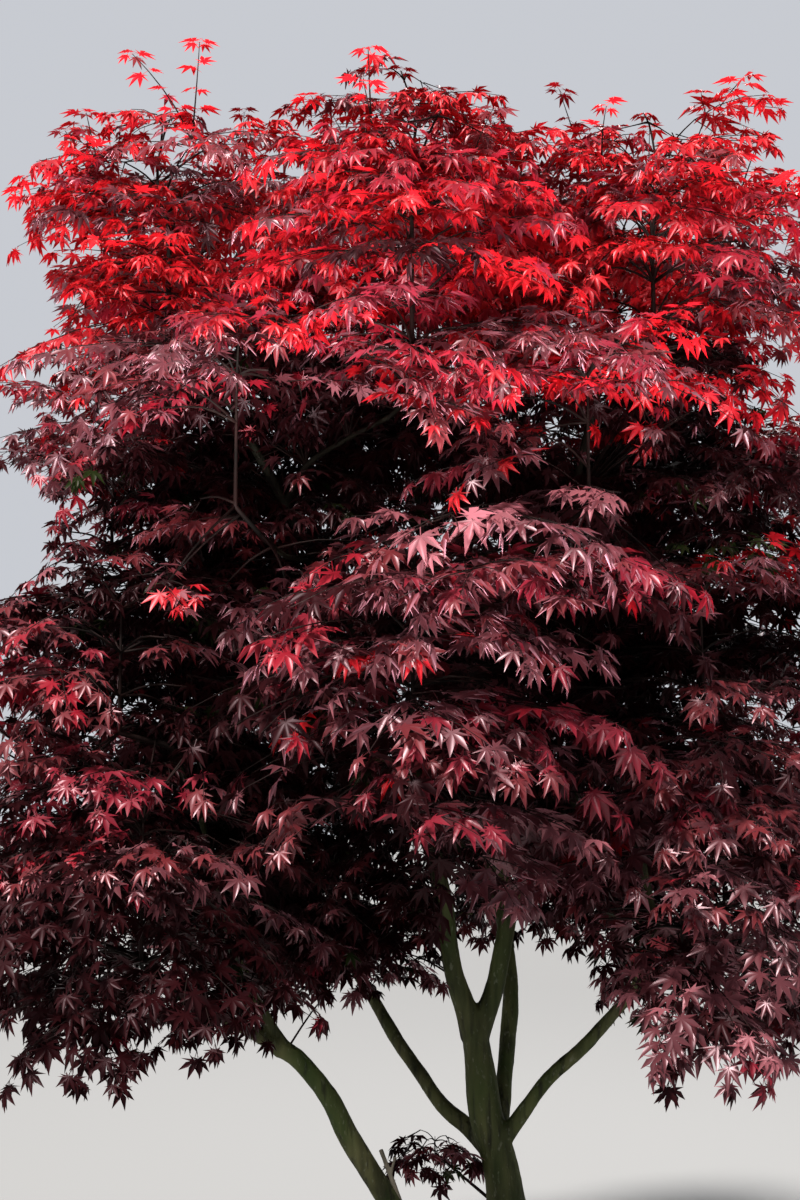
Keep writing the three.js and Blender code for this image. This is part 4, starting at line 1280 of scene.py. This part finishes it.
def terracotta(tree):
    body = mixed(tree, grain(tree, 3.2, 0.3, 0.7, detail=5), (0.34, 0.125, 0.057),
                 (0.50, 0.205, 0.10))
    lime = mixed(tree, grain(tree, 7, 0.5, 0.74, (1, 1, 0.7), 6), body, (0.60, 0.47, 0.37), 0.5)
    damp = mixed(tree, grain(tree, 2.4, 0.55, 0.75, (1, 1, 0.4)), lime, (0.20, 0.088, 0.05), 0.45)
    turning = grain(tree, 9, 0.2, 0.8, (0.05, 0.05, 9), 2)
    return damp, mixed(tree, 0.5, grain(tree, 220, 0.2, 0.8, detail=3), turning)


def potting_soil(tree):
    crumbs = grain(tree, 60, 0.3, 0.7, detail=6)
    return mixed(tree, crumbs, (0.010, 0.007, 0.005), (0.060, 0.038, 0.023)), crumbs


def mulch_chip(tree):
    fibres = grain(tree, 40, 0.3, 0.7, (1, 0.4, 1))
    return mixed(tree, fibres, (0.05, 0.025, 0.013), (0.19, 0.10, 0.052)), fibres


# Work on the pieces

def deselect():
    bpy.ops.object.select_all(action="DESELECT")


def select(pieces):
    deselect()
    for piece in pieces:
        piece.select_set(True)
    bpy.context.view_layer.objects.active = pieces[0]


def edit(name):
    """Names the piece just added and opens all of it for editing."""
    piece = bpy.context.object
    piece.name = name
    bpy.ops.object.mode_set(mode="EDIT")
    bpy.ops.mesh.select_all(action="SELECT")
    return piece


def declare(piece, slot, *nodes):
    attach(piece, "root")
    if nodes:
        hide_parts(*nodes)


def add_modifier(piece, name, kind, **settings):
    modifier = piece.modifiers.new(name, kind)
    for setting, value in settings.items():
        setattr(modifier, setting, value)


def clouds(name, size):
    texture = bpy.data.textures.new(name, "CLOUDS")
    texture.noise_scale = size
    return texture


def dress(piece, finish):
    """Applies the modifiers, smooths the piece and gives it its finish."""
    select([piece])
    for modifier in list(piece.modifiers):
        bpy.ops.object.modifier_apply(modifier=modifier.name)
    bpy.ops.object.shade_smooth()
    piece.data.materials.clear()
    piece.data.materials.append(finish)


# The limbs: round curves with their own thickness at every point, joined by one skin that
# swells a little where they fork

# Voxel, relief and furrow are in metres. The bends of a root are heights above the foot of its
# stem and ways out from its middle, in radii of the stem.
BARK = dict(fine_step=26, fork_swell=0.3, swell_length=55, uneven=0.04, wave=47, voxel=0.005,
            relief=0.0032, furrow=0.05)
ROOTS = dict(count=5, bends=((70, 0.35), (21, 0.9), (-2, 1.4), (-22, 2.1)), radii=(0.52, 0.26),
             uneven=0.3, step=12)


def add_curve(name, path, radii):
    data = bpy.data.curves.new(name, "CURVE")
    data.dimensions = "3D"
    data.bevel_depth = MM
    data.bevel_resolution = 5
    data.use_fill_caps = True
    line = data.splines.new("POLY")
    line.points.add(len(path) - 1)
    for point, place, radius in zip(line.points, path, radii):
        point.co = (*(place * MM), 1)
        point.radius = radius
    return put_in_scene(name, data)


def limb_curve(limb):
    """A finer path for a limb, thicker at its foot and a little uneven."""
    lengths = lengths_along(limb["path"])
    path = smooth_path(limb["path"], BARK["fine_step"])
    fine = lengths_along(path)
    radii = np.interp(fine * lengths[-1] / fine[-1], lengths, limb["radii"])
    swell = limb.get("flare", BARK["fork_swell"])
    radii = radii * (1 + swell * np.exp(-fine / BARK["swell_length"]))
    dice = np.random.default_rng(len(limb["name"]))
    waves = np.sin(fine / BARK["wave"] + dice.uniform(0, 6))
    return add_curve(limb["name"] + "_curve", path, radii * (1 + BARK["uneven"] * waves))


def root_curves(limb):
    """Short roots that spread from the foot of a stem into the soil."""
    foot, radius = limb["path"][0], limb["radii"][0]
    curves = []
    for k in range(ROOTS["count"]):
        turn = 2 * math.pi * (k + ROOTS["uneven"] * math.sin(5 * k)) / ROOTS["count"]
        out = level_way(turn)
        bends = [foot + UP * height + out * radius * far for height, far in ROOTS["bends"]]
        path = smooth_path(bends, ROOTS["step"])
        radii = np.linspace(*ROOTS["radii"], len(path)) * radius
        curves.append(add_curve(f"{limb['name']}_root", path, radii))
    return curves


def one_skin(curves, name, voxel):
    """Joins curves to one mesh with one skin round all of them."""
    select(curves)
    bpy.ops.object.convert(target="MESH")
    bpy.ops.object.join()
    joined = bpy.context.view_layer.objects.active
    joined.name = name
    add_modifier(joined, "one skin", "REMESH", mode="VOXEL", voxel_size=voxel)
    return joined


def build_limbs(limbs, bark):
    curves = [limb_curve(limb) for limb in limbs]
    for limb in limbs[:2]:
        curves += root_curves(limb)
    skin = one_skin(curves, "limbs", BARK["voxel"])
    add_modifier(skin, "even out", "SMOOTH", factor=0.5, iterations=3)
    add_modifier(skin, "relief", "DISPLACE", texture=clouds("furrows", BARK["furrow"]),
                 strength=BARK["relief"], mid_level=0.5)
    dress(skin, bark)
    declare(skin, "bark", *[limb["name"] for limb in limbs])


def build_stub(finish):
    curves = []
    for bends, radii in ((STUB["bends"], STUB["radii"]), (STUB["snag"], STUB["snag_radii"])):
        path = smooth_path([vec(bend) for bend in bends], STUB["step"])
        waves = np.sin(np.arange(len(path)) * STUB["wave"])
        widths = np.linspace(*radii, len(path)) * (1 + STUB["uneven"] * waves)
        curves.append(add_curve("snag", path, widths))
    stub = one_skin(curves, "dead_stub_wood", STUB["voxel"])
    dress(stub, finish)
    declare(stub, "dead_wood", "dead_stub")


# Pot and soil

POT_SIDES = 96
# Radius and height of each ring, from the underside by the wall and the rim to the inside.
POT_OUTLINE = [(242, 0), (250, 8), (309, 340), (312, 344), (311, 348), (311, 356), (327, 361),
               (331, 366), (332, 372), (332, 424), (330, 433), (324, 439), (318, 440), (297, 440),
               (290, 437), (286, 430), (286, 362), (236, 36), (228, 32)]
SOIL_TOP = 415
# Crumb and crumble are in metres.
SOIL = dict(radius=285, dome=12, sunk=4, crumb=0.012, crumble=0.010, crumble_middle=0.6)
CHIP = dict(count=420, size=(13, 7, 2.5), spread=265, scale=(0.6, 1.25), skew=0.2, seed=12,
            above=6, dome=9000, pitch=18, roll=20, turns=7)


def build_pot(clay):
    """A disc, drawn up and widened or narrowed ring by ring along the outline of the pot."""
    deselect()
    radius, height = POT_OUTLINE[0]
    bpy.ops.mesh.primitive_circle_add(vertices=POT_SIDES, radius=radius * MM, fill_type="TRIFAN",
                                      location=(0, 0, 0))
    pot = edit("clay_pot")
    for next_radius, next_height in POT_OUTLINE[1:]:
        rise = (0, 0, (next_height - height) * MM)
        bpy.ops.mesh.extrude_region_move(TRANSFORM_OT_translate={"value": rise})
        share = next_radius / radius
        bpy.ops.transform.resize(value=(share, share, 1), center_override=(0, 0, 0))
        radius, height = next_radius, next_height
    bpy.ops.mesh.select_all(action="SELECT")
    bpy.ops.mesh.normals_make_consistent(inside=False)
    bpy.ops.object.mode_set(mode="OBJECT")
    bpy.ops.object.shade_smooth_by_angle(angle=math.radians(40))
    pot.data.materials.append(clay)
    declare(pot, "clay", "pot")


def build_soil(finish):
    """A flat dome of crumbly soil."""
    deselect()
    bpy.ops.mesh.primitive_uv_sphere_add(segments=96, ring_count=96, radius=1, location=(0, 0, 0))
    bed = edit("soil_bed")
    wide = SOIL["radius"] * MM
    bpy.ops.transform.resize(value=(wide, wide, SOIL["dome"] * MM), center_override=(0, 0, 0))
    bpy.ops.transform.translate(value=(0, 0, (SOIL_TOP - SOIL["sunk"]) * MM))
    bpy.ops.object.mode_set(mode="OBJECT")
    add_modifier(bed, "crumble", "DISPLACE", texture=clouds("crumbs", SOIL["crumb"]),
                 direction="Z", strength=SOIL["crumble"], mid_level=SOIL["crumble_middle"])
    dress(bed, finish)
    declare(bed, "soil", "soil")


def scatter_chips(finish):
    """Skewed blocks of wood, strewn over the soil."""
    corners = np.array([(x, y, z) for x in (-1, 1) for y in (-1, 1) for z in (-1, 1)], float)
    sides = np.array([(0, 1, 3), (0, 3, 2), (4, 6, 7), (4, 7, 5), (0, 4, 5), (0, 5, 1),
                      (2, 3, 7), (2, 7, 6), (0, 2, 6), (0, 6, 4), (1, 5, 7), (1, 7, 3)])
    dice = np.random.default_rng(CHIP["seed"])
    heap = Heap()
    for _ in range(CHIP["count"]):
        far, turn = CHIP["spread"] * math.sqrt(dice.random()), dice.uniform(0, 2 * math.pi)
        forward, normal = drooping(level_way(turn * CHIP["turns"]), swing(dice, CHIP["pitch"]),
                                   swing(dice, CHIP["roll"]))
        size = np.array(CHIP["size"]) * dice.uniform(*CHIP["scale"], 3)
        chip = corners * size * (1 + dice.uniform(-CHIP["skew"], CHIP["skew"], (8, 3)))
        axes = np.array([forward, np.cross(normal, forward), normal])
        height = SOIL_TOP + CHIP["above"] - far * far / CHIP["dome"]
        middle = vec((far * math.cos(turn), far * math.sin(turn), height))
        heap.add(chip @ axes + middle, sides, np.zeros(len(sides), int))
    declare(heap.make("mulch_chips", [finish]), "soil")


# The plant

masses = ring_masses()
limbs = [main_limb(settings, masses) for settings in LIMBS]
for mass in masses:
    if mass["bough"] is None:
        mass["bough"] = bough_for(mass, limbs)
        limbs.append(mass["bough"])
    path = mass["bough"]["path"]
    mass.update(foot=path[-1], heading=unit(path[-1] - path[-2]),
                foot_radius=mass["bough"]["radii"][-1])
for mass, rise in zip([mass for mass in masses if mass["tier"] == "top"], SHOOT_RISES):
    mass["shoot"] = [dict(SHOOT, stem=rise * level, lift=rise * level + SHOOT["lift"])
                     for level in SHOOT["levels"]]
low_shoot = {key: vec(value) if isinstance(value, tuple) else value
             for key, value in LOW_SHOOT.items()}
low_shoot.update(heading=unit(low_shoot["heading"]), planes=[], tiers=TIERS[1:3])

bark = painted("olive bark", olive_bark, 0.72, (0.8, 0.005), 0.25)
twig_wood = painted("young twig", young_twig, 0.7, gloss=0.2)
build_limbs(limbs, bark)
build_stub(painted("dead wood", dead_wood, 0.9, (0.6, 0.003)))
build_pot(painted("terracotta", terracotta, 0.86, (0.35, 0.003)))
build_soil(painted("potting soil", potting_soil, 0.95, (0.8, 0.006)))
scatter_chips(painted("mulch chip", mulch_chip, 0.9, (0.5, 0.002)))

# Seeds of the dice of the foliage.
MASS_SEED, INSIDE_SEED = 1000, 400
# The fan and the spacing of the leaves of sprays unlike the usual ones, after the fineness of
# their twigs for the low shoot and inside the crown.
RULE_SHOOT = (FAN[:3], 36)
UNDER = (FAN[:5], 50)
LOW_SHOOT_SPRAY = (0.5, FAN[:3], 30)
INSIDE = (0.8, FAN[:5], 44)
MAIN_SHOOT = dict(starts=0.5, radii=(2.6, 0.8), leaves_from=0.35)


def grow_sprays(growth, mass, sprays):
    """The sprays of the rule, more between them, and shaded ones under some."""
    sprays = [spray for spray in sprays if not is_open(spray["base"])]
    for spray in sprays + fill_sprays(mass, sprays, growth.dice):
        if is_open(spray["base"]):
            continue
        growth.add_twig(spray)
        if spray["on_shoot"]:
            growth.add_spray(spray, *RULE_SHOOT)
            continue
        lay_flat(spray, mass, growth.dice)
        growth.add_spray(spray)
        if growth.dice.random() <= FOLIAGE["under_share"]:
            under = dict(spray, length=spray["length"] * FOLIAGE["under_length"],
                         shade="under", base=spray["base"] - UP * FOLIAGE["under"])
            del under["colour"]
            growth.add_spray(under, *UNDER)


def grow_layers(growth, mass, points):
    """The added layers of a mass. Gives back the sprays of the first of them."""
    layers = []
    for layer in OWN_LAYERS.get(mass["name"], LAYERS[mass["tier"]]):
        layers.append(layer_sprays(mass, points, layer, growth.dice))
        for spray in layers[-1]:
            growth.add(spray)
    return layers[0]


def grow_shoots(growth, mass, stem, sprays):
    growth.add_shoots(sprays, *MORE_SHOOTS.get(mass["name"], USUAL_SHOOTS))
    start = mass["centre"][2] + MAIN_SHOOT["starts"] * mass["high"]
    tip_part = [point for point in stem if point[2] > start]
    growth.add_shoot(tip_part, np.linspace(*MAIN_SHOOT["radii"], len(tip_part)),
                     MAIN_SHOOT["leaves_from"])


for index, mass in enumerate(masses + [low_shoot]):
    # The low shoot stands against the trunk, which is the first limb.
    points, sprays = grow_mass(mass, index, limb_lines(limbs[int(mass is low_shoot):]))
    growth = Growth(np.random.default_rng(MASS_SEED + index))
    stem = smooth_path(points, STEM_STEP)
    if mass["tier"] == "top":
        stem = [sway(mass, point) for point in stem]
        for spray in sprays:
            if spray["on_shoot"]:
                spray.update({key: sway(mass, spray[key]) for key in ("start", "base", "bend")})
    tip_radius = STEM["tip"] * STEM["fine_tip"] * mass["fine"]
    radii = np.linspace(mass["foot_radius"], tip_radius, len(stem))
    growth.twigs.append((stem, radii, STEM["sides"]))
    for spray in sprays:
        spray.update(small=LARGE_LEAVES.get(mass["name"], 1), shade="top")
    if mass is low_shoot:
        for spray in sprays:
            growth.add(spray, *LOW_SHOOT_SPRAY)
    else:
        grow_sprays(growth, mass, sprays)
        first_layer = grow_layers(growth, mass, points)
        if mass["tier"] == "top":
            grow_shoots(growth, mass, stem, first_layer)
    growth.make(mass["name"], f"leaves_{mass['tier']}", f"foliage_{mass['name']}")

dice = np.random.default_rng(INSIDE_SEED)
inner = inner_sprays(limbs, dice)
for name, sprays in (("inside", inner), ("behind", backing_sprays(limbs, dice))):
    growth = Growth(dice)
    for spray in sprays:
        growth.add(spray, *INSIDE)
    growth.make(name, "leaves_lower")


# Floor, light and camera

FLOOR = dict(size=80, grey=0.345, roughness=0.9)
# The backdrop shows paler than the light that it gives.
BACKDROP = dict(colour=(0.90, 0.93, 1.0, 1), light=0.30, seen=0.64)

deselect()
bpy.ops.mesh.primitive_plane_add(size=FLOOR["size"], location=(0, 0, 0))
floor = bpy.context.object
floor.name = "floor"
material, shader = new_finish("pale floor", FLOOR["roughness"])
shader.inputs["Base Color"].default_value = (*[FLOOR["grey"]] * 3, 1)
floor.data.materials.append(material)

world = bpy.data.worlds.new("pale studio")
bpy.context.scene.world = world
world.use_nodes = True
backdrop = world.node_tree.nodes["Background"]
backdrop.inputs["Color"].default_value = BACKDROP["colour"]
seen = world.node_tree.nodes.new("ShaderNodeLightPath")
strength = world.node_tree.nodes.new("ShaderNodeMapRange")
strength.inputs["To Min"].default_value = BACKDROP["light"]
strength.inputs["To Max"].default_value = BACKDROP["seen"]
world.node_tree.links.new(seen.outputs["Is Camera Ray"], strength.inputs["Value"])
world.node_tree.links.new(strength.outputs["Result"], backdrop.inputs["Strength"])


def add_light(name, kind, place, towards, power, colour=(1, 1, 1), **settings):
    """A light that shines from its place in a direction."""
    data = bpy.data.lights.new(name, kind)
    data.energy, data.color = power, colour
    for setting, value in settings.items():
        setattr(data, setting, value)
    light = put_in_scene(name, data)
    light.location = place
    light.rotation_euler = towards.to_track_quat("-Z", "Y").to_euler()


# The sun stands high at the left, behind the camera. A long soft light low in front reaches
# only the upper leaves, from below, and another one stands high at the back.
FILL_RISE = math.radians(50)
BACK_PLACE = (1.5, 4.2, 5.6)
add_light("high key", "SUN", (0, 0, 8), Vector((0.38, 0.56, -1.0)), 5.6, (1, 0.97, 0.93),
          angle=math.radians(8))
add_light("top fill", "AREA", (-0.15, -2.7, 0.5),
          Vector((0, math.cos(FILL_RISE), math.sin(FILL_RISE))), 25, shape="RECTANGLE",
          size=1.9, size_y=0.3, spread=math.radians(36))
add_light("back light", "AREA", BACK_PLACE, Vector((-0.15, 0, 2.4)) - Vector(BACK_PLACE), 120,
          (1, 0.98, 0.95), shape="DISK", size=2.5)
bpy.context.scene.view_settings.view_transform = "Standard"

PITCH_UP = math.radians(6.054)
camera_data = bpy.data.cameras.new("view")
camera_data.lens = 49.5
camera_data.sensor_width = 36
camera_data.clip_end = 200
camera = put_in_scene("view", camera_data)
camera.location = Vector(EYE) * MM
camera.rotation_euler = (math.pi / 2 + PITCH_UP, 0, 0)
bpy.context.scene.camera = camera
